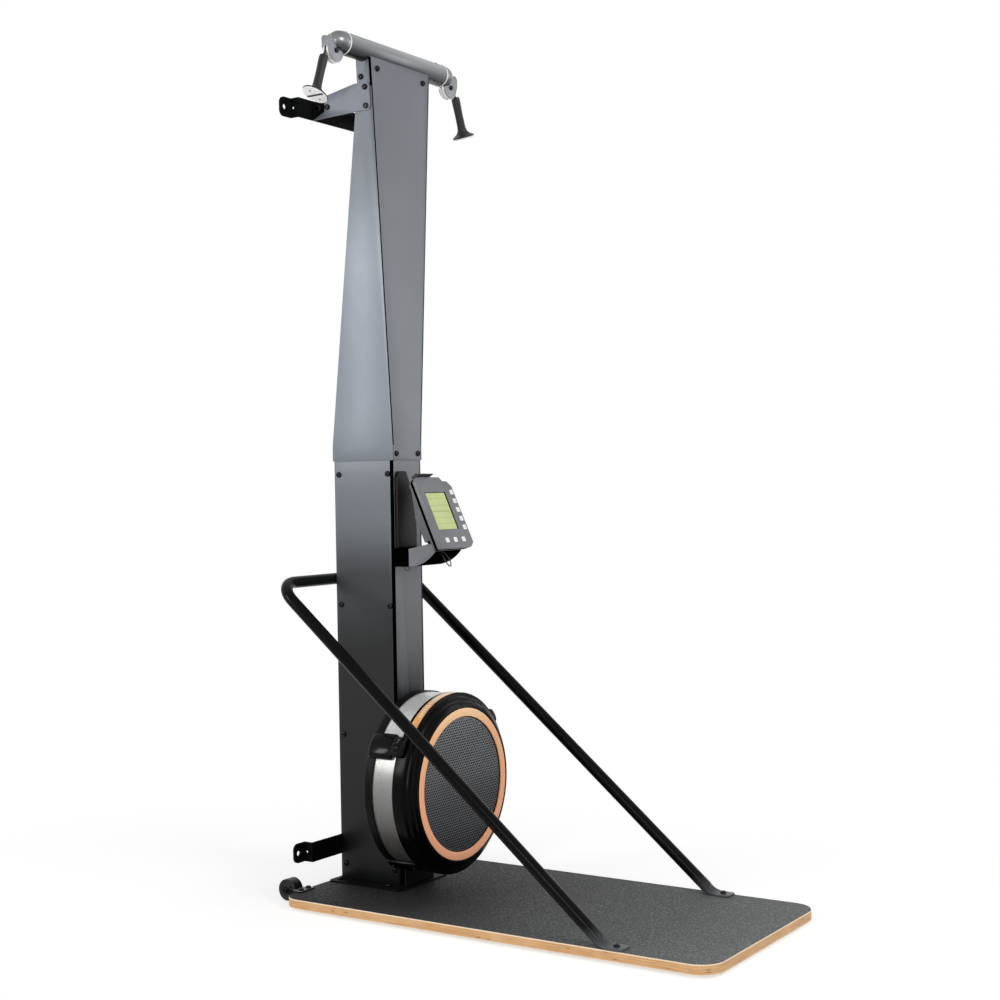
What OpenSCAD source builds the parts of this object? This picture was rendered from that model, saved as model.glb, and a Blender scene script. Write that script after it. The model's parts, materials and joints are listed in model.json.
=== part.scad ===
// Standing ski trainer: an air braked pull machine on a plywood deck.
// Millimetres, +Z up. The origin is on the floor, in the middle of the footprint.
// The user stands on the -Y side of the tower, and the wall is on the +Y side.

/* [Deck] */
// Width of the plywood deck
deck_w = 580; // [540:5:660]
// Length of the plywood deck, front to back
deck_l = 1203; // [1000:5:1300]
// Thickness of the plywood
ply_t = 23.5; // [15:0.5:30]
// Thickness of the pebbled mat on the deck
mat_t = 1.5; // [1:0.5:4]
// Radius of the two front corners
deck_front_r = 60; // [30:5:90]
// Radius of the two rear corners
deck_rear_r = 28; // [15:1:50]
// Height of a rubber foot
foot_h = 8; // [5:1:20]
// Radius of a rubber foot
foot_r = 17; // [12:1:25]

/* [Tower] */
// Outer width of the lower tower
tower_w = 121; // [110:1:150]
// Outer depth of the lower tower
tower_d = 190; // [170:1:220]
// Sheet metal thickness
sheet_t = 2.5; // [1.5:0.5:3]
// From the deck's rear edge to the tower's back
tower_setback = 13.5; // [11:0.5:20]
// Height of the seam between lower and upper tower
seam_z = 1130; // [1050:5:1200]
// Height of the straight skirt of the upper tower
skirt_h = 38; // [34:1:60]
// Width of the upper tower at the cross tube
top_w = 257; // [230:1:290]
// Depth of the upper tower at the cross tube
top_d = 42; // [42:1:60]
// Gap between the two nested tower sections
sleeve_gap = 0.3; // [0.2:0.1:0.6]
// Gap beside each front panel, seen as a dark joint line
panel_gap = 2; // [1:0.5:4]

/* [Cross tube] */
// Outer diameter of the cross tube
tube_d = 57; // [50:1:60]
// Wall of the cross tube
tube_wall = 2.5; // [1.5:0.5:4]
// Length of the cross tube between its two white rings
tube_l = 410; // [380:5:460]
// Height of the tube's axis
tube_z = 2167; // [2100:1:2250]
// From the tower's front face back to the tube's axis
tube_y = 20; // [19:0.5:22]
// Width of a white ring
ring_w = 3; // [2:0.5:6]
// Length of an end hood
hood_l = 64; // [56:1:80]

/* [Pulleys and cords] */
// Radius of the cord's centre line on a pulley
pitch_r = 27; // [24:1:30]
// Height of a pulley's flange above the cord's centre line
flange_h = 3; // [2:0.5:5]
// Width of a pulley
pulley_w = 14; // [10:1:18]
// From the cross tube's end to an outer pulley's axis
pulley_x = 40; // [37:1:57]
// Diameter of the pull cord
cord_d = 5; // [4:0.5:8]
// Radius of the cord's centre line on a drive drum
drum_r = 30; // [26:1:36]

/* [Handles] */
// Angle of a hanging handle from upright, outwards
handle_tilt = 20; // [10:1:25]
// Diameter of the rubber grip
grip_d = 23; // [20:0.5:28]
// Length from the pulley to the top of the grip
lead_l = 28; // [27:1:60]
// Length of the grip from its top to its flare
grip_l = 84; // [75:1:110]
// Length of the flare above the hand stop
flare_l = 25; // [15:1:35]
// Width of the oval hand stop
stop_w = 76; // [60:1:90]
// Depth of the oval hand stop
stop_d = 52; // [44:1:70]

/* [Fan] */
// Outer diameter of the fan housing
fan_d = 460; // [420:2:480]
// Height of the fan's axis
fan_z = 303; // [300:1:340]
// From the tower's front face to the back of the fan housing
fan_gap = 20; // [16:1:26]
// Depth of the rear rim
rear_rim = 26; // [20:1:34]
// Width of the open mesh band
mesh_w = 62; // [50:1:80]
// Width of the front rim
front_rim = 44; // [38:1:60]
// Depth of the dome in front of the rim
dome_h = 12; // [8:1:20]
// Outer diameter of the copper ring
copper_d = 392; // [370:2:400]
// Width of the copper ring
copper_w = 28; // [20:1:36]
// Diameter of the axle
axle_d = 20; // [17:1:25]
// Number of impeller blades
blade_count = 20; // [12:1:28]

/* [Monitor] */
// Height of the middle of the monitor's face
monitor_z = 989; // [970:1:1000]
// From the tower's front face to the middle of the monitor's face
monitor_y = 121; // [116:1:130]
// Lean of the monitor's face from upright
monitor_lean = 24; // [18:1:28]
// Thickness of the front shell
face_t = 10; // [8:0.5:12]
// Thickness of the rear shell
back_t = 14; // [12:0.5:18]
// Depth of the battery box behind the rear shell
battery_t = 18; // [12:1:20]
// Side of a square key
key_w = 12; // [10:0.5:13]
// Height of a key above the face
key_h = 2; // [1.5:0.1:4]
// Width of the display window
lcd_w = 88; // [70:1:92]
// Height of the display window
lcd_h = 104; // [90:1:110]

/* [Hand rail] */
// Outer diameter of the rail's tube
rail_d = 30; // [25:1:35]
// Width that the deck has more than the rail, between the axes of its legs
rail_w = 40; // [20:5:80]
// Height of the cross piece's axis
rail_z = 821; // [780:1:860]
// Slope of the legs from level
rail_slope = 40; // [38:0.5:42]
// Radius of the rail's bends
rail_bend_r = 65; // [50:1:90]
// Length of a flattened foot plate
rail_foot_l = 56; // [45:1:80]

/* [Wall bars] */
// Distance between the two wall holes of a bar
wall_hole_span = 406.4; // [380:0.1:430]
// Diameter of a wall hole
wall_hole_d = 14; // [8:1:16]
// Height of a bar
bar_h = 50; // [44:1:60]
// Thickness of a bar
bar_t = 5; // [4:0.5:6]
// Depth of a bar's step towards the wall
bar_step = 25; // [20:1:40]
// Height of the lower bar's middle
lower_bar_z = 124; // [110:1:160]
// Drop from the cross tube's axis to the upper bar's middle
upper_bar_z = 129; // [117:1:177]

/* [Transport wheels] */
// Radius of a transport wheel
wheel_r = 27.5; // [24:0.5:30]
// Width of a transport wheel
wheel_w = 30; // [24:1:40]
// From the middle of the machine to a wheel
wheel_x = 208; // [190:1:225]
// Height of a wheel above the floor
wheel_lift = 3.5; // [2:0.5:8]

/* [Hidden] */
$fn = 64;

// General clearances: a seat between fixed pieces, and a gap beside moving ones
seat = 0.3;
run_gap = 0.8;
eps = 0.05;

// Heights and depths that the other sizes give. Y is measured from the tower's front face.
deck_z = foot_h + ply_t + mat_t;
wheel_back = deck_rear_gap() + 2 * wheel_r;
footprint_l = deck_l + wheel_back;
tower_y = footprint_l / 2 - wheel_back - tower_setback - tower_d;
deck_back = tower_d + tower_setback;
deck_front = deck_back - deck_l;
plate_t = 4;
tower_foot = deck_z + plate_t;
half_w = tower_w / 2;

// Upper tower: it sleeves over the lower one, then widens and leans forward
sleeve = sheet_t + sleeve_gap;
up_half = half_w + sleeve;
up_front = -sleeve;
up_back = tower_d + sleeve;
fold_z = seam_z + skirt_h;
top_z = tube_z - 10;
top_half = top_w / 2;
knee_drop = 65;
knee_z = top_z - knee_drop - 8;
side_tilt = atan((top_half - up_half) / (top_z - fold_z));
back_lean = atan((up_back - top_d) / (knee_z - fold_z));
function side_x(z) = up_half + (z - fold_z) * tan(side_tilt);
function side_s(z) = (z - fold_z) / cos(side_tilt);

// Cross tube and pulleys
tube_r = tube_d / 2;
bore_r = tube_r - tube_wall;
hood_x = tube_l / 2 + ring_w;
pulley_z = tube_z - pitch_r;
flange_r = pitch_r + flange_h;
cheek_r = flange_r + 2;
cheek_t = 2.5;
cheek_gap = pulley_w / 2 + run_gap;
inner_cord_x = 22;
inner_pulley_x = inner_cord_x + pitch_r;
inner_pulley_z = pulley_z - 15;
pin_r = 4;
pin_fit = 0.05;
screw_r = 6.5;
screw_h = 5;
hex_r = 3;
shank_fit = 0.15;
inner_box_x = 104;
inner_box_back = top_d - sheet_t - 2.5;

// Handle line: it leaves the outer pulley at a tangent
pulley_at = tube_l / 2 + pulley_x;
lead_x = pulley_at + pitch_r * cos(handle_tilt);
lead_z = pulley_z + pitch_r * sin(handle_tilt);
stop_t = 4;

// Fan, measured from the tower's front face towards the user
fan_r = fan_d / 2;
rim_wall = 3;
rear_y = fan_gap;
mesh_y0 = rear_y + rear_rim;
mesh_y1 = mesh_y0 + mesh_w;
front_y1 = mesh_y1 + front_rim;
face_y = front_y1 + dome_h;
copper_r = copper_d / 2;
grille_r = copper_r - copper_w;
copper_t = 3.5;
mesh_r = fan_r - 3;
mesh_t = 1.2;
lap = 5;
axle_r = axle_d / 2;
bearing_r = 2.35 * axle_r;
bearing_w = 14;
damper_angle = -59.5;
knob_clip_angle = 50;
plain_clip_angles = [146, -146];

// Inside the tower: bearings and drums, measured back from its front face
front_bearing_y = 2 * sheet_t + 3;
rear_bearing_y = tower_d - 58;
drum_w = 26;
left_drum_y = front_bearing_y + bearing_w + 3 + drum_w / 2;
right_drum_y = left_drum_y + drum_w + 8;

// Monitor hinge: below the battery box, behind the rear shell
hinge_v = 74;
hinge_back = face_t + back_t + 14;
hinge_y = monitor_y + hinge_v * sin(monitor_lean) - hinge_back * cos(monitor_lean);
hinge_z = monitor_z - hinge_v * cos(monitor_lean) - hinge_back * sin(monitor_lean);
hinge_pin_r = 3;
knuckle_r = 8;
side_key_x = 62;
side_key_v = [60.5, 35.8, 11.1, -13.6, -38.3];
menu_key_x = [-34, 1.8, 37.6];
menu_key_v = -71;
lcd_x = -9;
lcd_v = 10;

// Hand rail
rail_r = rail_d / 2;
rail_span = deck_w - rail_w;
rail_y = tower_d + rail_r + 7;
rail_foot_z = deck_z + 3;
rail_run = (rail_z - rail_foot_z) / sin(rail_slope);
rail_foot_y = rail_y - (rail_z - rail_foot_z) / tan(rail_slope);

// Wall bars
bar_half = wall_hole_span / 2 - 24;
upper_bar_at = tube_z - upper_bar_z;
ear_w = 46;
wall_y = tower_d + bar_step + bar_t;

// Wheels
function deck_rear_gap() = 9;
wheel_y = deck_back + 9 + wheel_r;
wheel_z = wheel_r + wheel_lift;

// Screw rows of the lower tower
side_rows = [74.6, 414.7, 754.8, 1094.9];
side_cols = [15, 175.5];

// Everything is drawn from the tower's front face and then set on the footprint
module placed() {
  translate([0, tower_y, 0]) children();
}

module both_sides() {
  children();
  mirror([1, 0, 0]) children();
}

// A round bar along Y from y0 to y1, with more facets where it is large
module bar_y(r, y0, y1) {
  translate([0, y0, 0]) rotate([-90, 0, 0]) cylinder(r = r, h = y1 - y0, $fn = r > 100 ? 240 : 64);
}

// A round bar along X from x0 to x1
module bar_x(r, x0, x1) {
  translate([x0, 0, 0]) rotate([0, 90, 0]) cylinder(r = r, h = x1 - x0);
}

// A flat sheet cut from an outline in Y and Z, with its thickness along X
module sheet_yz(t) {
  rotate([90, 0, 90]) linear_extrude(t) children();
}

// A flat sheet cut from an outline in X and Z, with its thickness from y to y + t
module sheet_xz(y, t) {
  translate([0, y + t, 0]) rotate([90, 0, 0]) linear_extrude(t) children();
}

// A rectangle with round corners, made of squares and true circles
module round_rect(w, h, r) {
  translate([-w / 2 + r, -h / 2]) square([w - 2 * r, h]);
  translate([-w / 2, -h / 2 + r]) square([w, h - 2 * r]);
  for (sx = [-1, 1], sy = [-1, 1])
    translate([sx * (w / 2 - r), sy * (h / 2 - r)]) circle(r);
}

// Button head screw along +Z: the head stands on z = 0 and the shank goes down
module screw(shank = 9) {
  difference() {
    union() {
      cylinder(r = screw_r, h = screw_h - 1.5);
      translate([0, 0, screw_h - 1.5]) cylinder(r1 = screw_r, r2 = screw_r - 2, h = 1.5, $fn = 32);
      translate([0, 0, -shank]) cylinder(r = pin_r, h = shank);
    }
    translate([0, 0, screw_h - 3]) cylinder(r = hex_r, h = 4, $fn = 6);
  }
}

// Deck outline with its own front and rear corner radii
module deck_outline() {
  fr = deck_front_r;
  rr = deck_rear_r;
  hw = deck_w / 2;
  mid = (deck_front + deck_back) / 2;
  translate([-hw, deck_front + fr]) square([deck_w, deck_l - fr - rr]);
  translate([-hw + fr, deck_front]) square([deck_w - 2 * fr, mid - deck_front]);
  translate([-hw + rr, mid]) square([deck_w - 2 * rr, deck_back - mid]);
  for (s = [-1, 1]) {
    translate([s * (hw - fr), deck_front + fr]) circle(fr);
    translate([s * (hw - rr), deck_back - rr]) circle(rr);
  }
}

module deck() {
  color("burlywood") placed() translate([0, 0, foot_h])
    difference() {
      linear_extrude(ply_t) deck_outline();
      deck_bolt_places() translate([0, 0, ply_t - 14]) cylinder(r = pin_r + shank_fit, h = 20);
    }
}

module deck_mat() {
  color("dimgray") placed() translate([0, 0, foot_h + ply_t])
    difference() {
      linear_extrude(mat_t) deck_outline();
      deck_bolt_places() translate([0, 0, -1]) cylinder(r = pin_r + shank_fit, h = mat_t + 2);
    }
}

// Six rubber feet, each with a dished underside
module deck_feet() {
  fx = deck_w / 2 - 42;
  ys = [deck_front + 75, (deck_front + deck_back) / 2, deck_back - 52];
  color("black") placed()
    for (y = ys, s = [-1, 1])
      translate([s * fx, y, 0]) difference() {
        cylinder(r = foot_r, h = foot_h);
        translate([0, 0, -1]) cylinder(r = foot_r - 8, h = 3);
      }
}

// Places of the bolts that hold the base plate, the rail and the wheel forks to the deck
base_bolt_x = tower_w / 2 + 21;
base_bolt_y = [20, tower_d - 12];
rail_bolt_y = rail_foot_y - rail_foot_l * 0.56;
fork_bolt_x = 14;
fork_bolt_y = deck_back - 10;

module deck_bolt_places() {
  for (s = [-1, 1], y = base_bolt_y) translate([s * base_bolt_x, y, 0]) children();
  for (s = [-1, 1]) translate([s * rail_span / 2, rail_bolt_y, 0]) children();
  for (s = [-1, 1], t = [-1, 1])
    translate([s * wheel_x + t * fork_bolt_x, fork_bolt_y, 0]) children();
}

// Base plate under the tower, with a folded tab that steadies the fan housing
base_w = tower_w + 88;
tab_w = 120;

module base_plate() {
  color([0.1, 0.1, 0.11]) placed() {
    difference() {
      union() {
        translate([0, (tower_d - 24) / 2, deck_z]) linear_extrude(plate_t)
          round_rect(base_w, tower_d + 44, 10);
        fan_tab();
      }
      for (s = [-1, 1], y = base_bolt_y)
        translate([s * base_bolt_x, y, deck_z - 1]) cylinder(r = pin_r + shank_fit, h = plate_t + 2);
    }
  }
}

// Upright tab in front of the tower, just behind the fan housing's back
module fan_tab() {
  tab_top = fan_z - fan_r + 40;
  difference() {
    translate([-tab_w / 2, -fan_gap + seat, deck_z]) cube([tab_w, plate_t, tab_top - deck_z]);
    tab_screw_places() translate([0, 0, -plate_t - 1]) cylinder(r = pin_r + shank_fit, h = plate_t + 2);
  }
}

// Screws through the tab into the fan housing's back, drawn towards the tower
module tab_screw_places() {
  for (s = [-1, 1])
    translate([s * 34, -fan_gap + seat + plate_t, fan_z - fan_r + 26]) rotate([-90, 0, 0]) children();
}

// Places of the lower tower's side screws, drawn along -X on the left side
module side_screw_places() {
  for (z = side_rows, y = side_cols)
    translate([-half_w, y, z]) rotate([0, -90, 0]) children();
}

module lower_channel() {
  flange = 18;
  color([0.2, 0.21, 0.23]) placed() difference() {
    translate([0, 0, tower_foot]) linear_extrude(fold_z - seat - 2 - tower_foot) difference() {
      translate([-half_w, 0]) square([tower_w, tower_d]);
      translate([-half_w + sheet_t, 2 * sheet_t])
        square([tower_w - 2 * sheet_t, tower_d - 3 * sheet_t]);
      translate([-half_w + flange, -1]) square([tower_w - 2 * flange, tower_d / 2]);
      translate([-half_w + sheet_t, -1]) square([tower_w - 2 * sheet_t, sheet_t + 1]);
    }
    both_sides() side_screw_places()
      translate([0, 0, -sheet_t - 1]) cylinder(r = pin_r + shank_fit, h = sheet_t + 2);
    wall_bar_screw_places(lower_bar_z)
      translate([0, 0, -bar_t - sheet_t - 1]) cylinder(r = pin_r + shank_fit, h = bar_t + sheet_t + 2);
    seam_screw_places()
      translate([0, 0, -sleeve - 2 * sheet_t - 1]) cylinder(r = pin_r + shank_fit, h = 20);
  }
}

module lower_front_panel() {
  w = tower_w - 2 * (sheet_t + panel_gap);
  color([0.3, 0.31, 0.33]) placed() difference() {
    translate([-w / 2, 0, tower_foot]) cube([w, sheet_t, fold_z - seat - 2 - tower_foot]);
    translate([0, 0, fan_z]) bar_y(bearing_r + 4, -1, sheet_t + 1);
    seam_screw_places()
      translate([0, 0, -sleeve - 2 * sheet_t - 1]) cylinder(r = pin_r + shank_fit, h = 20);
  }
}

// Screws through the front of both panels just above the seam
module seam_screw_places() {
  for (s = [-1, 1])
    translate([s * (half_w - 14), up_front, seam_z + 17]) rotate([90, 0, 0]) children();
}

// Screws through the upper front panel just below the cross tube
module top_screw_places() {
  for (s = [-1, 1])
    translate([s * 98, up_front, tube_z - 45]) rotate([90, 0, 0]) children();
}

// Local frame of the left upper side plate: x inwards, y as the tower, z up the slope
module on_left_side() {
  translate([-up_half, 0, fold_z]) rotate([0, -side_tilt, 0]) children();
}

// The cross tube's room in the upper tower
module tube_room(gap) {
  translate([0, tube_y, tube_z]) bar_x(tube_r + gap, -top_w, top_w);
}

// Room inside the upper tower's outer faces, less a wall, seen from the front and from the side
module upper_room(wall, over) {
  z0 = seam_z - over;
  z1 = top_z + over;
  side = side_x(z1) - wall / cos(side_tilt);
  z_side = fold_z + wall * tan(side_tilt / 2);
  z_lean = wall * tan(back_lean / 2);
  intersection() {
    sheet_xz(up_front - over, up_back - up_front + 2 * over)
      polygon([[-up_half + wall, z0], [up_half - wall, z0], [up_half - wall, z_side],
               [side, z1], [-side, z1], [-up_half + wall, z_side]]);
    translate([-top_w, 0, 0]) sheet_yz(2 * top_w)
      polygon([[up_front - over, z0], [up_back - wall, z0], [up_back - wall, fold_z - z_lean],
               [top_d - wall, knee_z - z_lean], [top_d - wall, z1], [up_front - over, z1]]);
  }
}

// Folded flanges behind the upper front panel
module upper_flanges() {
  z0 = fold_z + 3;
  both_sides() sheet_xz(up_front + sheet_t, sheet_t)
    polygon([[-side_x(z0) + 1, z0], [-side_x(z0) + 20, z0],
             [-side_x(top_z) + 20, top_z], [-side_x(top_z) + 1, top_z]]);
}

module upper_channel() {
  color([0.38, 0.4, 0.43]) placed() difference() {
    union() {
      difference() {
        upper_room(0, 0);
        upper_room(sheet_t, 1);
      }
      upper_flanges();
    }
    tube_room(seat);
    both_sides() gusset_screw_places()
      translate([0, 0, -sheet_t - 4]) cylinder(r = pin_r + shank_fit, h = sheet_t + 8);
  }
}

module upper_front_panel() {
  inset = sheet_t + panel_gap;
  z1 = top_z;
  color([0.4, 0.42, 0.45]) placed() difference() {
    sheet_xz(up_front, sheet_t)
      polygon([[-up_half + inset, seam_z], [up_half - inset, seam_z],
               [up_half - inset, fold_z], [side_x(z1) - inset, z1],
               [-side_x(z1) + inset, z1], [-up_half + inset, fold_z]]);
    tube_room(seat);
    seam_screw_places() translate([0, 0, -9]) cylinder(r = pin_r + shank_fit, h = 10);
    top_screw_places() translate([0, 0, -9]) cylinder(r = pin_r + shank_fit, h = 10);
  }
}

// Gusset screws on the left side: one above the gusset and two through it
gusset_t = 3;
gusset_y0 = 2;
gusset_screws = [[29, upper_bar_at + 63], [16, upper_bar_at + 36], [16, upper_bar_at - 11]];

module gusset_screw_places() {
  on_left_side() for (p = gusset_screws)
    translate([p == gusset_screws[0] ? 0 : -gusset_t, p[0], side_s(p[1])]) rotate([0, -90, 0]) children();
}

// Gusset outline in Y and height: round front corners, a cut rear corner
module gusset_outline() {
  z_top = upper_bar_at + 48;
  z_low = upper_bar_at - 21;
  r = 12;
  difference() {
    union() {
      polygon([[gusset_y0 + r, z_low], [tower_d, upper_bar_at - 25.5], [150, upper_bar_at - 8],
               [150, upper_bar_at + 30], [50, z_top], [gusset_y0 + r, z_top]]);
      translate([gusset_y0, z_low + r]) square([2 * r, z_top - z_low - 2 * r]);
      translate([gusset_y0 + r, z_low + r]) circle(r);
      translate([gusset_y0 + r, z_top - r]) circle(r);
    }
    translate([gusset_y0 - 30, z_low - 40]) square([300, 14.5]);
  }
}

module upper_gussets() {
  color([0.42, 0.44, 0.47]) placed() difference() {
    both_sides() on_left_side() translate([-gusset_t, 0, side_s(upper_bar_at) - upper_bar_at])
      sheet_yz(gusset_t) gusset_outline();
    both_sides() gusset_screw_places()
      translate([0, 0, -gusset_t - 4]) cylinder(r = pin_r + shank_fit, h = gusset_t + 8);
    both_sides() bar_tab_screw_places()
      translate([0, 0, -gusset_t - 4]) cylinder(r = pin_r + shank_fit, h = gusset_t + 8);
  }
}

// Screws that join the upper bar's tabs to the gussets
module bar_tab_screw_places() {
  on_left_side() for (y = [140, 166])
    translate([-gusset_t, y, side_s(upper_bar_at + 2)]) rotate([0, -90, 0]) children();
}

// One hat shaped bar: a long flat, a step at each end and an ear against the wall
module hat_bar() {
  ear_x = bar_half - bar_t;
  difference() {
    union() {
      translate([-bar_half, tower_d, -bar_h / 2]) cube([2 * bar_half, bar_t, bar_h]);
      both_sides() {
        translate([-bar_half, tower_d, -bar_h / 2]) cube([bar_t, bar_step + bar_t, bar_h]);
        translate([0, wall_y - bar_t, 0]) sheet_xz(0, bar_t) ear_outline(ear_x);
      }
    }
    for (s = [-1, 1]) {
      translate([s * wall_hole_span / 2, 0, 0]) bar_y(wall_hole_d / 2, wall_y - bar_t - 1, wall_y + 1);
      translate([0, tower_d + bar_t + 14, 0]) bar_x_pair(s);
    }
  }
}

module bar_x_pair(s) {
  translate([s * (bar_half - bar_t / 2), 0, 0]) bar_x(4, -bar_t, bar_t);
}

module ear_outline(ear_x) {
  r = 16;
  translate([-ear_x - ear_w + r, -bar_h / 2]) square([ear_w - r, bar_h]);
  translate([-ear_x - ear_w, -bar_h / 2 + r]) square([ear_w, bar_h - 2 * r]);
  for (s = [-1, 1]) translate([-ear_x - ear_w + r, s * (bar_h / 2 - r)]) circle(r);
}

// Screws through a bar into the back of the lower tower
module wall_bar_screw_places(z) {
  for (s = [-1, 1])
    translate([s * (half_w - 22), tower_d + bar_t, z]) rotate([-90, 0, 0]) children();
}

// Tabs folded forward from the upper bar, lying inside the gussets
module bar_tabs() {
  z0 = side_s(upper_bar_at - bar_h / 2 + 1);
  z1 = side_s(upper_bar_at + bar_h / 2 - 1);
  both_sides() on_left_side() sheet_yz(gusset_t)
    polygon([[tower_d + 1, z0], [tower_d + 1, z1 - 6], [172, z1], [126, z1], [126, z0]]);
}

module wall_bars() {
  color([0.09, 0.09, 0.1]) placed() {
    difference() {
      translate([0, 0, lower_bar_z]) hat_bar();
      wall_bar_screw_places(lower_bar_z) translate([0, 0, -bar_t - 1]) cylinder(r = pin_r + shank_fit, h = bar_t + 2);
    }
    difference() {
      union() {
        translate([0, 0, upper_bar_at]) hat_bar();
        bar_tabs();
      }
      both_sides() bar_tab_screw_places()
        translate([0, 0, -2 * gusset_t - 2]) cylinder(r = pin_r + shank_fit, h = 2 * gusset_t + 4);
    }
  }
}

// All socket head screws and bolts of the fixed frame
module socket_screws() {
  color([0.06, 0.06, 0.07]) placed() {
    both_sides() side_screw_places() screw(7);
    seam_screw_places() screw(sleeve + 2 * sheet_t);
    top_screw_places() screw(6);
    both_sides() gusset_screw_places() screw(8);
    both_sides() bar_tab_screw_places() screw(2 * gusset_t);
    wall_bar_screw_places(lower_bar_z) screw(bar_t + sheet_t);
    tab_screw_places() screw(plate_t + 3);
    tube_screw_places() tube_screw();
    for (s = [-1, 1], y = base_bolt_y)
      translate([s * base_bolt_x, y, deck_z + plate_t]) screw(plate_t + 12);
    for (s = [-1, 1])
      translate([s * rail_span / 2, rail_bolt_y, deck_z + rail_plate_t]) screw(rail_plate_t + 12);
    for (s = [-1, 1], t = [-1, 1])
      translate([s * wheel_x + t * fork_bolt_x, fork_bolt_y, deck_z + fork_t]) screw(fork_t + 12);
  }
}

// Small screws on top of the cross tube, near its rings
module tube_screw_places() {
  for (s = [-1, 1]) translate([s * (tube_l / 2 - 14), tube_y, tube_z + tube_r]) children();
}

module tube_screw() {
  translate([0, 0, -tube_wall - 1]) cylinder(r = 2.5, h = tube_wall + 1.5);
  translate([0, 0, 0.3]) cylinder(r = 4, h = 2.2);
}

// Cross tube, open below where the inner pulleys reach into it
module cross_tube() {
  slot_x = inner_pulley_x + flange_r + 6;
  color([0.4, 0.42, 0.45]) placed() difference() {
    translate([0, tube_y, tube_z]) difference() {
      bar_x(tube_r, -tube_l / 2, tube_l / 2);
      bar_x(bore_r, -tube_l / 2 - 1, tube_l / 2 + 1);
      translate([-slot_x, -pulley_w / 2 - 3, -tube_r - 1]) cube([2 * slot_x, pulley_w + 6, tube_r]);
    }
    tube_screw_places() translate([0, 0, -tube_wall - 4]) cylinder(r = 2.5 + shank_fit, h = tube_wall + 5);
  }
}

module tube_rings() {
  color("white") placed() translate([0, tube_y, tube_z])
    both_sides() difference() {
      bar_x(tube_r + 1, tube_l / 2, hood_x);
      bar_x(bore_r, tube_l / 2 - 1, hood_x + 1);
    }
}

// End hood of the right side: a round nose cut away on a slant over the pulley
hood_wall = 3;

module hood_body(r, l) {
  bar_x(r, 0, l - 30);
  translate([l - 30, 0, 0]) intersection() {
    rotate([0, 90, 0]) rotate_extrude() intersection() {
      translate([0, 0]) union() {
        circle(r);
        translate([-r, -r]) square([2 * r, r]);
      }
      square([r, 30]);
    }
    translate([-1, -r, -r]) cube([31, 2 * r, 2 * r]);
  }
}

module hood_cut() {
  cut = atan(0.66);
  translate([10, 0, -tube_r]) rotate([0, -cut, 0]) translate([0, -50, -100]) cube([200, 100, 100]);
}

module end_hoods() {
  color([0.3, 0.31, 0.34]) placed() both_sides() translate([hood_x, tube_y, tube_z]) difference() {
    hood_body(tube_r, hood_l);
    translate([-1, 0, 0]) hood_body(tube_r - hood_wall, hood_l - hood_wall + 1);
    hood_cut();
    translate([pulley_at - hood_x, -tube_y, pulley_z - tube_z])
      bar_y(flange_r + 1, tube_y - pulley_w / 2 - 1, tube_y + pulley_w / 2 + 1);
  }
}

// One cheek plate of the right side: a disc round the axle with an arm up into the hood
module cheek(y) {
  difference() {
    intersection() {
      translate([0, y, 0]) sheet_xz(0, cheek_t) union() {
        translate([pulley_at, pulley_z]) circle(cheek_r);
        translate([pulley_at - cheek_r + 6, pulley_z]) square([2 * cheek_r - 14, tube_r + pitch_r]);
        translate([pulley_at, pulley_z]) square([cheek_r, 22]);
        translate([pulley_at + cheek_r - 12, pulley_z + 22]) circle(12);
      }
      translate([hood_x, tube_y, tube_z]) union() {
        hood_cut();
        translate([-1, 0, 0]) hood_body(tube_r - hood_wall - seat, hood_l - hood_wall + 1 - seat);
      }
    }
    translate([pulley_at, 0, pulley_z]) bar_y(pin_r + pin_fit, -200, 200);
  }
}

module pulley_cheeks() {
  color([0.45, 0.46, 0.48]) placed() both_sides() {
    cheek(tube_y - cheek_gap - cheek_t);
    cheek(tube_y + cheek_gap);
  }
}

// Bolts that serve as pulley axles, two outside and two in the tower's top
module pulley_axles() {
  outer_y0 = tube_y - cheek_gap - cheek_t;
  outer_y1 = tube_y + cheek_gap + cheek_t + 4;
  color([0.12, 0.12, 0.13]) placed() both_sides() {
    translate([pulley_at, outer_y0, pulley_z]) rotate([90, 0, 0]) screw(outer_y1 - outer_y0);
    translate([pulley_at, 0, pulley_z]) difference() {
      translate([0, outer_y1 - 4, 0]) rotate([-90, 0, 0]) cylinder(r = 7, h = 5, $fn = 6);
      bar_y(pin_r - 0.5, outer_y1 + 0.5, outer_y1 + 2);
    }
    translate([inner_pulley_x, 0, inner_pulley_z]) {
      bar_y(pin_r, 0, inner_box_back);
      bar_y(pin_r + 3, sheet_t + seat, tube_y - pulley_w / 2 - run_gap);
      bar_y(pin_r + 3, tube_y + pulley_w / 2 + run_gap, inner_box_back - sheet_t - seat);
    }
  }
}

// Open box that holds the two inner pulleys under the cross tube
module inner_bracket() {
  z0 = inner_pulley_z - 22;
  z1 = tube_z - tube_r - 3;
  color("dimgray") placed() difference() {
    translate([-inner_box_x, 0, z0]) cube([2 * inner_box_x, inner_box_back, z1 - z0]);
    translate([-inner_box_x + sheet_t, sheet_t, z0 - 1])
      cube([2 * (inner_box_x - sheet_t), inner_box_back - 2 * sheet_t, z1 - z0 + 2]);
    for (s = [-1, 1])
      translate([s * inner_pulley_x, 0, inner_pulley_z]) bar_y(pin_r + pin_fit, -1, inner_box_back + 1);
    top_screw_places() translate([0, 0, -20]) cylinder(r = pin_r + shank_fit, h = 20);
  }
}

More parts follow.
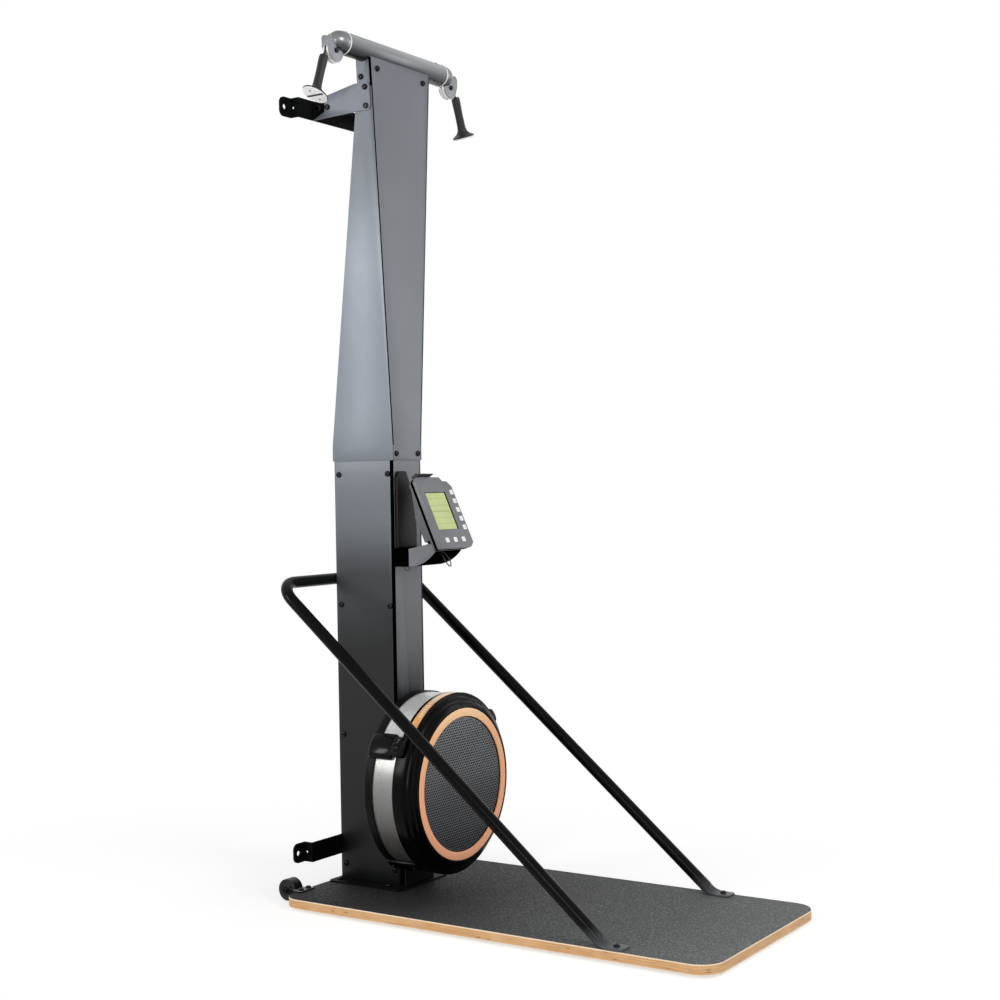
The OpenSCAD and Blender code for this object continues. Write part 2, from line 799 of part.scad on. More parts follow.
// A grooved pulley round the Y axis, with a true bore
module pulley(bore) {
  w = pulley_w / 2;
  groove = cord_d / 2 + 0.4;
  rotate([90, 0, 0]) difference() {
    rotate_extrude() difference() {
      translate([0, -w]) square([flange_r, pulley_w]);
      translate([pitch_r, 0]) circle(groove, $fn = 24);
      translate([pitch_r, -groove]) square([groove + flange_h + 3, 2 * groove]);
      for (s = [-1, 1]) translate([bore + 5, s * w - 2]) square([pitch_r - bore - 13, 4]);
    }
    translate([0, 0, -w - 1]) cylinder(r = bore, h = pulley_w + 2);
  }
}

module left_pulley() {
  color("white") placed() translate([-pulley_at, tube_y, pulley_z]) pulley(pin_r + pin_fit);
}

module right_pulley() {
  color("white") placed() translate([pulley_at, tube_y, pulley_z]) pulley(pin_r + pin_fit);
}

module left_inner_pulley() {
  color("white") placed() translate([-inner_pulley_x, tube_y, inner_pulley_z]) pulley(pin_r + pin_fit);
}

module right_inner_pulley() {
  color("white") placed() translate([inner_pulley_x, tube_y, inner_pulley_z]) pulley(pin_r + pin_fit);
}

// Pull cords: points by hand and by arc, swept as one tube for each side
cord_sides = 8;
cord_r = cord_d / 2;

// Points on an arc in the XZ plane, angles from +X towards +Z
function arc_points(cx, cz, r, a0, a1, n, y) =
  [for (i = [0:n]) let (a = a0 + (a1 - a0) * i / n) [cx + r * cos(a), y, cz + r * sin(a)]];

// Direction of the short run between the inner and the outer pulley of the left side
run_angle = atan2(pulley_z - inner_pulley_z, pulley_at - inner_pulley_x);

function left_route(y_drum, x_pulley) = concat(
  [[-drum_r, y_drum, fan_z], [-drum_r, y_drum, fan_z + 12]],
  arc_points(x_pulley, inner_pulley_z, pitch_r, 0, 90 + run_angle, 8, tube_y),
  arc_points(-pulley_at, pulley_z, pitch_r, 90 + run_angle, 180 - handle_tilt, 6, tube_y)
);

function unit(v) = v / norm(v);

function ring_dir(p, i) =
  i == 0 ? unit(p[1] - p[0]) :
  i == len(p) - 1 ? unit(p[i] - p[i - 1]) : unit(p[i + 1] - p[i - 1]);

// A tube of flat facets along a route in the XZ plane that leans a little in Y
module swept(p, r) {
  n = cord_sides;
  rings = [for (i = [0:len(p) - 1])
    let (d = ring_dir(p, i), u = unit(cross(d, [0, 1, 0])), v = cross(u, d))
      for (k = [0:n - 1]) p[i] + r * (u * cos(360 * k / n) + v * sin(360 * k / n))];
  walls = [for (i = [0:len(p) - 2], k = [0:n - 1])
    [i * n + k, i * n + (k + 1) % n, (i + 1) * n + (k + 1) % n, (i + 1) * n + k]];
  tris = [for (w = walls, t = [[w[0], w[1], w[2]], [w[0], w[2], w[3]]]) t];
  ends = [[for (k = [n - 1:-1:0]) k], [for (k = [0:n - 1]) (len(p) - 1) * n + k]];
  polyhedron(points = rings, faces = concat(tris, ends));
}

// The right cord leaves the drum on the same side, so both drums drive the fan one way
function mirrored(p) = [for (q = p) [-q[0], q[1], q[2]]];
function right_route(y_drum) =
  let (m = mirrored(left_route(y_drum, -inner_pulley_x)))
    concat([[-drum_r, y_drum, fan_z], [-drum_r, y_drum, fan_z + 12]],
           [for (i = [2:len(m) - 1]) m[i]]);

module pull_cords() {
  color([0.1, 0.1, 0.1]) placed() {
    swept(left_route(left_drum_y, -inner_pulley_x), cord_r);
    swept(right_route(right_drum_y), cord_r);
  }
}

// The short stretch of cord that is drawn out when a handle is pulled
module cord_lead() {
  translate([-lead_x, tube_y, lead_z]) rotate([0, handle_tilt, 0])
    translate([0, 0, -lead_l]) cylinder(r = cord_r, h = lead_l - 0.2);
}

module left_cord_lead() {
  color([0.1, 0.1, 0.1]) placed() cord_lead();
}

module right_cord_lead() {
  color([0.1, 0.1, 0.1]) placed() mirror([1, 0, 0]) cord_lead();
}

// Handle, drawn down from the top of the grip
module on_handle() {
  translate([-lead_x, tube_y, lead_z]) rotate([0, handle_tilt, 0]) translate([0, 0, -lead_l]) children();
}

module grip_body() {
  gr = grip_d / 2;
  on_handle() {
    rotate_extrude() polygon([[0, -0.2], [gr - 4, -0.2], [gr - 0.6, -3], [gr, -7], [gr - 0.8, -grip_l * 0.5],
                              [gr - 0.3, -grip_l], [0, -grip_l]]);
    hull() {
      translate([0, 0, -grip_l]) cylinder(r = gr - 0.3, h = 0.5, $fn = 32);
      translate([0, 0, -grip_l - flare_l * 0.55]) scale_oval(0.66) cylinder(r = stop_w / 2, h = 0.5, $fn = 32);
    }
    hull() {
      translate([0, 0, -grip_l - flare_l * 0.55]) scale_oval(0.66) cylinder(r = stop_w / 2, h = 0.5, $fn = 32);
      translate([0, 0, -grip_l - flare_l]) scale_oval(1) cylinder(r = stop_w / 2, h = 1.2, $fn = 32);
    }
  }
}

// Turns a round of the stop's width into its oval
module scale_oval(k) {
  scale([k, k * stop_d / stop_w, 1]) children();
}

module stop_plate_body() {
  on_handle() translate([0, 0, -grip_l - flare_l - stop_t]) difference() {
    scale_oval(0.97) cylinder(r = stop_w / 2, h = stop_t, $fn = 48);
    for (s = [-1, 1]) translate([s * stop_w * 0.27, 0, -1]) cylinder(r = 3, h = 2.2);
  }
}

module left_grip() {
  color([0.14, 0.14, 0.15]) placed() grip_body();
}

module right_grip() {
  color([0.14, 0.14, 0.15]) placed() mirror([1, 0, 0]) grip_body();
}

module left_stop_plate() {
  color("silver") placed() stop_plate_body();
}

module right_stop_plate() {
  color("silver") placed() mirror([1, 0, 0]) stop_plate_body();
}

// Two plates that carry the axle's bearings inside the tower
module bearing_blocks() {
  w = tower_w - 2 * sheet_t - 2 * seat;
  color("gray") placed() translate([0, 0, fan_z])
    for (y = [front_bearing_y, rear_bearing_y]) difference() {
      translate([-w / 2, y - 3 + seat, -45]) cube([w, bearing_w + 3 - seat, 90]);
      bar_y(bearing_r, y, y + bearing_w + 1);
      bar_y(bearing_r - 4, y - 4, y + bearing_w + 1);
    }
}

// Ball bearings: an outer and an inner ring joined by a shield
module axle_bearings() {
  color("lightgray") placed() translate([0, 0, fan_z])
    for (y = [front_bearing_y, rear_bearing_y]) difference() {
      bar_y(bearing_r - 0.02, y + 0.1, y + bearing_w);
      bar_y(axle_r + pin_fit, y - 1, y + bearing_w + 1);
      difference() {
        bar_y(bearing_r - 4, y + bearing_w - 1, y + bearing_w + 1);
        bar_y(axle_r + 4, y + bearing_w - 2, y + bearing_w + 2);
      }
    }
}

// A spool for one cord, with its one-way clutch pressed in and a running bore
module drum(y) {
  w = drum_w / 2;
  color([0.35, 0.36, 0.38]) placed() translate([0, y, fan_z]) rotate([90, 0, 0]) difference() {
    rotate_extrude() difference() {
      translate([0, -w]) square([drum_r + 8, drum_w]);
      translate([drum_r - cord_r - 0.3, -w + 3]) square([20, drum_w - 6]);
    }
    translate([0, 0, -w - 1]) cylinder(r = axle_r + pin_fit, h = drum_w + 2);
  }
}

module left_drum() {
  drum(left_drum_y);
}

module right_drum() {
  drum(right_drum_y);
}

// Fan axle with a collar behind the front bearing and a nose that carries the impeller
module fan_axle() {
  y_back = rear_bearing_y + bearing_w + 8;
  y_nose = -mesh_y1 + 2;
  color("silver") placed() translate([0, 0, fan_z]) {
    difference() {
      bar_y(axle_r, y_nose, y_back);
      bar_y(3, y_nose - 1, y_nose + 12);
    }
    bar_y(axle_r + 3, front_bearing_y - 6, front_bearing_y - 0.4);
  }
}

// Impeller: a back disc, a hub, a steel rim and curved blades
blade_in = 70;
blade_t = 2.4;

module impeller() {
  out_r = mesh_r - mesh_t - 9;
  y0 = -mesh_y0 - 4;
  depth = mesh_w - 8;
  color([0.25, 0.26, 0.28]) placed() translate([0, 0, fan_z]) difference() {
    union() {
      bar_y(out_r, y0, y0 + 4);
      bar_y(34, y0 - depth, y0 + 4);
      difference() {
        bar_y(out_r, y0 - 12, y0);
        bar_y(out_r - 12, y0 - 13, y0 + 1);
      }
      for (i = [0:blade_count - 1]) rotate([0, 360 * i / blade_count, 0])
        rotate([90, 0, 0]) translate([0, 0, -y0 - 1]) linear_extrude(depth + 1) blade_outline(out_r);
    }
    bar_y(axle_r + 0.02, y0 - depth - 1, y0 + 5);
  }
}

// Blade seen from the front: a curved band between two arcs
module blade_outline(out_r) {
  bend_r = out_r * 0.95;
  intersection() {
    difference() {
      translate([0, bend_r]) circle(bend_r + blade_t / 2);
      translate([0, bend_r]) circle(bend_r - blade_t / 2);
    }
    difference() {
      circle(out_r - 2);
      circle(blade_in);
    }
    translate([0, -10]) square([out_r, out_r]);
  }
}

// Rear housing: dished plate with a rim and a spacer ring against the tower
module fan_rear_housing() {
  color([0.08, 0.08, 0.09]) placed() translate([0, 0, fan_z]) difference() {
    union() {
      bar_y(fan_r, -mesh_y0, -rear_y);
      bar_y(half_w - 4, -rear_y - 1, -0.05);
    }
    translate([0, 0, -fan_z]) tab_screw_places()
      translate([0, 0, -plate_t - 4]) cylinder(r = pin_r + shank_fit, h = plate_t + 4);
    bar_y(fan_r - rim_wall, -mesh_y0 - 1, -rear_y - 3);
    bar_y(bearing_r + 3, -mesh_y0 - 1, 1);
    bar_y_ring(mesh_r + seat, mesh_r - mesh_t - seat, -mesh_y0 - 1, -mesh_y0 + lap);
  }
}

module bar_y_ring(r1, r0, y0, y1) {
  difference() {
    bar_y(r1, y0, y1);
    bar_y(r0, y0 - 1, y1 + 1);
  }
}

module fan_mesh_band() {
  color("silver") placed() translate([0, 0, fan_z])
    bar_y_ring(mesh_r, mesh_r - mesh_t, -mesh_y1 - lap + 0.5, -mesh_y0 + lap - 0.5);
}

// Front housing: rim, two shallow steps and a round shoulder down to the copper ring
module fan_front_housing() {
  color([0.07, 0.07, 0.08]) placed() translate([0, 0, fan_z]) difference() {
    rotate([90, 0, 0]) rotate_extrude($fn = 240) front_profile();
    bar_y_ring(mesh_r + seat, mesh_r - mesh_t - seat, -mesh_y1 - lap, -mesh_y1 + 1);
  }
}

// Profile of the front housing, radius along x and depth along y
// as rounded steps that fall back from the copper ring to the rim
module front_profile() {
  difference() {
    union() {
      round_step(0, 0, 5);
      round_step(7, 0.42, 4);
      round_step(14.5, 0.76, 4);
      round_step(fan_r - copper_r - 7, 0.96, 4);
    }
    translate([grille_r - 7, mesh_y1 - 1])
      square([fan_r - rim_wall - grille_r + 7, front_rim - rim_wall + 1]);
    translate([grille_r - seat, face_y - copper_t]) square([copper_w + 2 * seat, 10]);
    translate([0, face_y - 7]) square([grille_r + seat, 20]);
  }
}

// A step that stands back from the rim by inset, up to a share of the dome, with a round corner
module round_step(inset, share, c) {
  x0 = grille_r - 6;
  w = fan_r - inset - x0;
  h = front_rim + share * dome_h;
  translate([x0, mesh_y1]) square([w, h - c]);
  translate([x0, mesh_y1]) square([w - c, h]);
  translate([x0 + w - c, mesh_y1 + h - c]) circle(c, $fn = 32);
}

module copper_ring() {
  color([0.95, 0.68, 0.46]) placed() translate([0, 0, fan_z])
    bar_y_ring(copper_r, grille_r, -face_y, -face_y + copper_t);
}

// Front grille: a sheet with staggered rows of round holes
grille_t = 2.5;
hole_pitch = 17;
hole_r = 5.5;

module fan_grille() {
  color([0.16, 0.16, 0.17]) placed() translate([0, 0, fan_z])
    sheet_xz(-face_y + 7 - grille_t, grille_t - 0.1) difference() {
      circle(grille_r - seat);
      grille_holes();
    }
}

module grille_holes() {
  row_h = hole_pitch * sin(60);
  rows = floor((grille_r - 10) / row_h);
  cols = ceil(grille_r / hole_pitch);
  for (j = [-rows:rows], i = [-cols:cols]) {
    x = (i + abs(j % 2) / 2) * hole_pitch;
    z = j * row_h;
    if (norm([x, z]) < grille_r - 8 - hole_r) translate([x, z]) circle(hole_r, $fn = 24);
  }
}

// A clip that bridges the mesh band, at an angle measured clockwise from the top
clip_t = 8;
clip_w = 40;
clip_y0 = -mesh_y1 - 5;
clip_y1 = -mesh_y0 + rear_rim - 4;

module bridge_clip() {
  difference() {
    intersection() {
      bar_y_ring(fan_r + clip_t, fan_r + seat, clip_y0, clip_y1);
      translate([-clip_w / 2, clip_y0, 0]) cube([clip_w, clip_y1 - clip_y0, fan_r + 20]);
    }
    for (y = [clip_y0 + 9, clip_y1 - 9])
      translate([0, y, fan_r + clip_t - 3]) cylinder(r = 4, h = 10);
  }
}

// Ribbed thumb piece on the front rim, used on the lever and on one clip
module thumb_piece(w, h, y0, y1) {
  difference() {
    intersection() {
      bar_y_ring(fan_r + h, fan_r + seat, y0, y1);
      translate([0, 0, fan_r + h - w / 2]) bar_y(w / 2, y0, y1);
    }
    for (i = [-3:3]) translate([i * w / 9, 0, fan_r + h]) bar_y(1.6, y0 - 1, y1 - 8);
  }
}

module bridge_clips() {
  color([0.07, 0.07, 0.08]) placed() translate([0, 0, fan_z]) {
    for (a = plain_clip_angles) rotate([0, a, 0]) bridge_clip();
    rotate([0, knob_clip_angle, 0]) {
      bridge_clip();
      thumb_piece(44, 15, -mesh_y1 - 32, -mesh_y1 + 4);
    }
  }
}

// Damper lever: a broad saddle with a ribbed thumb piece
module damper_lever() {
  w = 66;
  h = 13;
  y0 = -mesh_y1 - 22;
  y1 = -mesh_y0 + rear_rim - 4;
  color([0.07, 0.07, 0.08]) placed() translate([0, 0, fan_z]) rotate([0, damper_angle, 0]) {
    intersection() {
      bar_y_ring(fan_r + h, fan_r + seat, y0 + 26, y1);
      translate([0, 0, fan_r + h - 46]) bar_y(46, y0, y1);
      translate([-w / 2, y0, 0]) cube([w, y1 - y0, fan_r + 20]);
    }
    thumb_piece(52, 17, y0, y0 + 36);
  }
}

// Pick-up inside the fan's back and the loops of its lead that show at the monitor's arm
module speed_sensor() {
  up = seat + 0.25 - arm_roof(96);
  color([0.1, 0.1, 0.1]) placed() {
    translate([-9, -rear_y - 3 - 8, fan_z + 120]) cube([18, 8, 30]);
    swept(loop_at(concat([[6, 96, up]], front_loop, [[14, 96, up]])), 1.5);
    swept(loop_at(rear_loop), 1);
  }
}

// Loops of thin lead: x, distance in front of the tower, and depth below arm_z1
front_loop = [[6, 96, 4], [6, 100, 12], [8, 108, 26], [14, 114, 41], [22, 117, 48],
              [28, 116, 42], [27, 112, 30], [20, 106, 17], [15, 99, 10], [14, 96, 4]];
rear_loop = [[-46, 22, 46.2], [-45, 22, 51], [-38, 23, 57], [-28, 22, 57], [-22, 20, 52], [-21, 20, 46.2]];

function loop_at(p) = [for (q = p) [q[0], -q[1], arm_z1 - q[2]]];

// U shaped hand rail, drawn flat and then leaned: legs towards -Y, cross piece along X
module hand_rail() {
  leg_x = rail_span / 2;
  br = rail_bend_r;
  color([0.06, 0.06, 0.07]) placed() {
    translate([0, rail_y, rail_z]) rotate([rail_slope, 0, 0]) {
      bar_x(rail_r, -leg_x + br, leg_x - br);
      both_sides() {
        translate([-leg_x + br, -br, 0]) rotate_extrude_quarter(br);
        translate([-leg_x, 0, 0]) bar_y(rail_r, -rail_run + 40, -br);
      }
    }
    both_sides() {
      rail_toe();
      rail_saddle();
    }
  }
}

// A quarter of a torus in the rail's own plane, at the left rear corner
module rotate_extrude_quarter(br) {
  intersection() {
    rotate_extrude($fn = 96) translate([br, 0]) circle(rail_r);
    translate([-br - 40, 0, -40]) cube([br + 40, br + 40, 80]);
  }
}

rail_plate_t = 5;
rail_foot_w = 44;

// The flattened end of a leg: a pinched stretch and a flat plate with a bolt hole
module rail_toe() {
  hull() {
    translate([-rail_span / 2, rail_y, rail_z]) rotate([rail_slope, 0, 0])
      bar_y(rail_r - 0.3, -rail_run + 36, -rail_run + 46, $fn = 32);
    translate([-rail_span / 2 - rail_foot_w / 2 + 0.5, rail_foot_y - 10, deck_z + 0.2])
      cube([rail_foot_w - 1, 5, rail_plate_t - 0.5]);
  }
  difference() {
    translate([-rail_span / 2 - rail_foot_w / 2, rail_foot_y - rail_foot_l, deck_z])
      cube([rail_foot_w, rail_foot_l - 4, rail_plate_t]);
    translate([-rail_span / 2, rail_bolt_y, deck_z - 1]) cylinder(r = pin_r + shank_fit, h = 10);
  }
}

// Welded saddle between the cross piece and the tower's back
module rail_saddle() {
  translate([-half_w + 12, tower_d, rail_z - 12]) cube([20, rail_y - tower_d - 2, 24]);
}

// Wheel forks: a plate on the deck's rear edge with two ears
fork_t = 3;
fork_plate_w = 58;

module wheel_forks() {
  ear_gap = wheel_w / 2 + run_gap;
  color([0.12, 0.12, 0.13]) placed() both_sides() translate([wheel_x, 0, 0]) difference() {
    union() {
      translate([-fork_plate_w / 2, deck_back - 20, deck_z]) cube([fork_plate_w, 27, fork_t]);
      for (s = [0, 1]) mirror([s, 0, 0]) {
        translate([ear_gap, deck_back + seat, wheel_z - 9]) cube([fork_t, wheel_y - deck_back, deck_z - wheel_z + 12]);
        translate([0, wheel_y, wheel_z]) bar_x(10, ear_gap, ear_gap + fork_t);
      }
      translate([0, wheel_y, wheel_z]) bar_x(pin_r, -ear_gap - fork_t - 4, ear_gap + fork_t + 4);
    }
    for (t = [-1, 1])
      translate([t * fork_bolt_x, fork_bolt_y, deck_z - 1]) cylinder(r = pin_r + shank_fit, h = fork_t + 2);
  }
}

module wheel(s) {
  color([0.1, 0.1, 0.1]) placed() translate([s * wheel_x, wheel_y, wheel_z]) rotate([0, 90, 0]) difference() {
    rotate_extrude() difference() {
      union() {
        translate([0, -wheel_w / 2 + 3]) square([wheel_r, wheel_w - 6]);
        translate([0, -wheel_w / 2]) square([wheel_r - 3, wheel_w]);
        for (t = [-1, 1]) translate([wheel_r - 3, t * (wheel_w / 2 - 3)]) circle(3);
      }
      for (t = [-1, 1]) translate([pin_r + 6, t * wheel_w / 2 - 3]) square([wheel_r - pin_r - 15, 6]);
      translate([0, -wheel_w]) square([pin_r + pin_fit, 2 * wheel_w]);
    }
  }
}

module left_wheel() {
  wheel(-1);
}

module right_wheel() {
  wheel(1);
}

// Black cover on the tower's front behind the monitor, with a narrow top
cover_t = 12;

module tower_cover() {
  hw = half_w - 6;
  z0 = arm_z1 + seat;
  z1 = monitor_z + 112;
  color([0.08, 0.08, 0.09]) placed() sheet_xz(-cover_t, cover_t)
    polygon([[-hw, z0], [hw, z0], [hw - 4, z1 - 16], [hw - 20, z1], [-hw + 20, z1], [-hw + 4, z1 - 16]]);
}

// Monitor arm: a box on the tower, a curved bracket and two ears round the hinge pin
arm_z0 = hinge_z - 49;
arm_z1 = hinge_z - 3;
arm_box_d = 46;
arm_half = half_w - 2.5;
arm_wall = 3;
arm_bow_r = 107;
boss_r = 11;

module monitor_arm() {
  inner = 2 * (arm_half - arm_wall);
  color([0.13, 0.13, 0.14]) placed() {
    difference() {
      translate([-arm_half, -arm_box_d, arm_z0]) cube([2 * arm_half, arm_box_d, arm_z1 - arm_z0]);
      translate([-arm_half + arm_wall, -arm_box_d + arm_wall, arm_z0 + arm_wall])
        cube([inner, arm_box_d, arm_z1 - arm_z0 - 2 * arm_wall]);
    }
    difference() {
      translate([-arm_half, 0, 0]) sheet_yz(2 * arm_half) arm_profile();
      translate([-arm_half + arm_wall, 0, 0]) sheet_yz(inner) arm_hollow();
    }
    translate([0, -hinge_y, hinge_z]) bar_x(hinge_pin_r, -arm_half + 1, arm_half - 1);
  }
}

// Side view of the arm: deep at the box, bowed below, round at the hinge
module arm_profile() {
  intersection() {
    polygon([[-arm_box_d + 1, arm_z0], [-arm_box_d + 1, arm_z1 - 1], [-hinge_y, hinge_z + boss_r],
             [-hinge_y - boss_r, hinge_z], [-hinge_y - boss_r, hinge_z - 12], [-hinge_y - 8, arm_z0]]);
    translate([-arm_box_d, arm_z0 + arm_bow_r]) circle(arm_bow_r);
  }
  translate([-hinge_y, hinge_z]) circle(boss_r);
}

// Underside of the arm's top sheet above arm_z1, at a distance in front of the tower
function arm_roof(y) = 9 * (y - arm_box_d) / (hinge_y - 14 - arm_box_d) - 4.5;

// The room below the arm's top sheet and between its two sides at the hinge
module arm_hollow() {
  z1 = arm_z1 + arm_roof(arm_box_d);
  y1 = -hinge_y + 14;
  polygon([[-arm_box_d, arm_z0 - 9], [-arm_box_d, z1], [y1, arm_z1 + arm_roof(-y1)], [y1, hinge_z + 30],
           [-hinge_y - 30, hinge_z + 30], [-hinge_y - 30, arm_z0 - 9]]);
}

// Frame of the monitor's face: x right, y up the face, z out of it
module on_face() {
  translate([0, -monitor_y, monitor_z]) rotate([90 - monitor_lean, 0, 0]) children();
}

// Front outline of the monitor with its stepped top
module face_outline(d) {
  polygon([[-75 + d, -90 + d], [-72 + d, -92 + d], [62 - d, -92 + d], [77 - d, -80 + d],
           [74 - d, 77 - d], [60 - d, 92 - d], [41 - d, 93 - d], [32 - d, 104 - d],
           [-66 + d, 104 - d], [-75 + d, 94 - d]]);
}

module key_places_2d() {
  for (v = side_key_v) translate([side_key_x, v]) children();
  for (x = menu_key_x) translate([x, menu_key_v]) children();
}

module monitor_face() {
  color([0.36, 0.36, 0.38]) placed() on_face() difference() {
    union() {
      translate([0, 0, -face_t]) linear_extrude(face_t) face_outline(0);
      translate([-55, 104, -face_t]) cube([50, 5, face_t]);
      translate([-55, 106, -face_t - 2]) cube([50, 3, face_t + 14]);
    }
    translate([0, 0, -face_t - 1]) linear_extrude(face_t - 2) face_outline(2.5);
    translate([lcd_x, lcd_v, -3]) linear_extrude(4) square([lcd_w, lcd_h], center = true);
    translate([lcd_x, lcd_v, -5]) linear_extrude(4) square([lcd_w - 6, lcd_h - 6], center = true);
    translate([0, 0, -5]) linear_extrude(6) key_places_2d()
      square([key_w + 2 * run_gap / 2, key_w + 2 * run_gap / 2], center = true);
  }
}

module lcd_window() {
  color([0.75, 0.82, 0.5]) placed() on_face() translate([lcd_x, lcd_v, -3]) linear_extrude(2)
    square([lcd_w - 2 * seat, lcd_h - 2 * seat], center = true);
}

// Rear shell with the battery box, the key bed and two hinge knuckles
module monitor_back() {
  z_back = -face_t - back_t;
  v_low = -hinge_v + 16;
  color([0.3, 0.3, 0.32]) placed() on_face() difference() {
    union() {
      translate([0, 0, z_back]) linear_extrude(back_t - 0.1) face_outline(2);
      translate([0, 0, -face_t - 1]) linear_extrude(face_t - 3.2) face_outline(3);
      translate([-71, v_low, z_back - battery_t]) cube([112, 15 - v_low, battery_t + 1]);
      both_sides() knuckle(z_back);
    }
    translate([0, -hinge_v, -hinge_back]) bar_x(hinge_pin_r + pin_fit, -arm_half, arm_half);
    translate([0, 0, -5.5]) linear_extrude(6) key_places_2d()
      square([key_w + 4, key_w + 4], center = true);
    for (i = [0:4]) translate([-62, v_low + 8 + 12 * i, z_back - battery_t - 1]) cube([94, 3, 3]);
  }
}

// One knuckle on the right side of the hinge, with its web to the rear shell
module knuckle(z_back) {
  x1 = arm_half - arm_wall - run_gap;
  translate([0, -hinge_v, -hinge_back]) bar_x(knuckle_r, x1 - 12, x1);
  translate([x1 - 12, -hinge_v - knuckle_r, -hinge_back]) cube([12, 2 * knuckle_r, hinge_back + z_back + 1]);
}

// One square key: a cap over a wider foot that keeps it behind the face
module key(x, v) {
  color("white") placed() on_face() translate([x, v, 0])
    translate([0, 0, -3.4]) linear_extrude(3.4 + key_h) round_rect(key_w, key_w, 2);
}

module key_side_1() {
  key(side_key_x, side_key_v[0]);
}

module key_side_2() {
  key(side_key_x, side_key_v[1]);
}

module key_side_3() {
  key(side_key_x, side_key_v[2]);
}

module key_side_4() {
  key(side_key_x, side_key_v[3]);
}

module key_side_5() {
  key(side_key_x, side_key_v[4]);
}

module key_menu_1() {
  key(menu_key_x[0], menu_key_v);
}

module key_menu_2() {
  key(menu_key_x[1], menu_key_v);
}

module key_menu_3() {
  key(menu_key_x[2], menu_key_v);
}

deck();
deck_mat();
deck_feet();
base_plate();
lower_channel();
lower_front_panel();
upper_channel();
upper_front_panel();
socket_screws();
cross_tube();
tube_rings();
end_hoods();
pulley_cheeks();
pulley_axles();
inner_bracket();
pull_cords();
left_cord_lead();
right_cord_lead();
bearing_blocks();
axle_bearings();
fan_rear_housing();
fan_mesh_band();
fan_front_housing();
fan_grille();
copper_ring();
bridge_clips();
speed_sensor();
hand_rail();
upper_gussets();
wall_bars();
wheel_forks();
tower_cover();
monitor_arm();
left_grip();
left_stop_plate();
right_grip();
right_stop_plate();
left_pulley();
right_pulley();
left_inner_pulley();
right_inner_pulley();
left_drum();
right_drum();
impeller();
fan_axle();
damper_lever();
monitor_face();
monitor_back();
lcd_window();
key_side_1();
key_side_2();
key_side_3();
key_side_4();
key_side_5();
key_menu_1();
key_menu_2();
key_menu_3();
left_wheel();
right_wheel();
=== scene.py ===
import bmesh
import bpy
import json
import math
from mathutils import Matrix, Vector

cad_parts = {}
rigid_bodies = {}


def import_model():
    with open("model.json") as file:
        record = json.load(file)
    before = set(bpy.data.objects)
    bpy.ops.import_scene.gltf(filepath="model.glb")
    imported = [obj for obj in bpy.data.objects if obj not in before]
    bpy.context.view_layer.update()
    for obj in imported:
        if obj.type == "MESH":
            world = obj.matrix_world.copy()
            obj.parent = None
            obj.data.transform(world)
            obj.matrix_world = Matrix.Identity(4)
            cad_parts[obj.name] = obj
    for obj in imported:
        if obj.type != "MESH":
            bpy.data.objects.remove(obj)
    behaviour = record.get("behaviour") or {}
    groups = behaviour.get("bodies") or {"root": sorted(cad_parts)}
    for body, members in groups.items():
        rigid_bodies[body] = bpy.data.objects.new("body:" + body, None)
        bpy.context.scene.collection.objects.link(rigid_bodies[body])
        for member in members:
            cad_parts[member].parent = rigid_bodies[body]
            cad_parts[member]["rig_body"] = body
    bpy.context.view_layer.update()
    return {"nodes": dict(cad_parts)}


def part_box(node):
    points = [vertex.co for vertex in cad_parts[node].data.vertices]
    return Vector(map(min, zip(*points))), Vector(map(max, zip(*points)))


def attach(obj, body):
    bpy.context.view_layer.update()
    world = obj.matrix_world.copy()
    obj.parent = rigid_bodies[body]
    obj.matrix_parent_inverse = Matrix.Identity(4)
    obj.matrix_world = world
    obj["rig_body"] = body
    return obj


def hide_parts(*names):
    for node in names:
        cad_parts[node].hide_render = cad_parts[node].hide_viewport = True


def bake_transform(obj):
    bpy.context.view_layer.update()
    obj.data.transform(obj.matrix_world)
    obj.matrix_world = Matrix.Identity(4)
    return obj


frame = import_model()
scene = bpy.context.scene
nodes = frame["nodes"]
print("frame loaded:", len(nodes), "nodes")

mm = 0.001
towerY = 366  # the tower's front face in the shared frame, in millimetres


def linked(name, data):
    made = bpy.data.objects.new(name, data)
    scene.collection.objects.link(made)
    return made


def turns(count):
    return [2 * math.pi * k / count for k in range(count)]


def spot(x, y, z):
    # a point in millimetres, with y measured from the tower's front face
    return Vector((x, y + towerY, z)) * mm


def standing(y, z=0):
    # for shapes drawn in (x, height): their thickness comes forward from y
    return Matrix(((1, 0, 0, 0), (0, 0, -1, (towerY + y) * mm), (0, 1, 0, z * mm), (0, 0, 0, 1)))


def acrossAt(x, y, z, turn=1):
    # the matrix's Z axis runs along X through a point of the machine
    return Matrix.Translation(spot(x, y, z)) @ Matrix.Rotation(turn * math.pi / 2, 4, "Y")


def rect(x0, y0, x1, y1):
    return [(x0, y0), (x1, y0), (x1, y1), (x0, y1)]


# camera, floor and light
cameraView = {"place": (-3.4289, -2.1822, 1.0704), "yaw": 33.383, "pitch": -0.65, "roll": -1.004, "lens": 59.205}


def makeCamera(view):
    yaw, pitch, roll = (math.radians(view[k]) for k in ("yaw", "pitch", "roll"))
    ahead = Vector((math.cos(yaw) * math.cos(pitch), math.sin(yaw) * math.cos(pitch), math.sin(pitch)))
    side = Vector((math.sin(yaw), -math.cos(yaw), 0))
    up = side.cross(ahead)
    turnedSide = side * math.cos(roll) + up * math.sin(roll)
    turnedUp = up * math.cos(roll) - side * math.sin(roll)
    data = bpy.data.cameras.new("camera")
    data.lens, data.sensor_width, data.clip_end = view["lens"], 36, 60
    camera = linked("camera", data)
    place = Matrix((turnedSide, turnedUp, -ahead)).transposed().to_4x4()
    place.translation = view["place"]
    camera.matrix_world = place
    scene.camera = camera


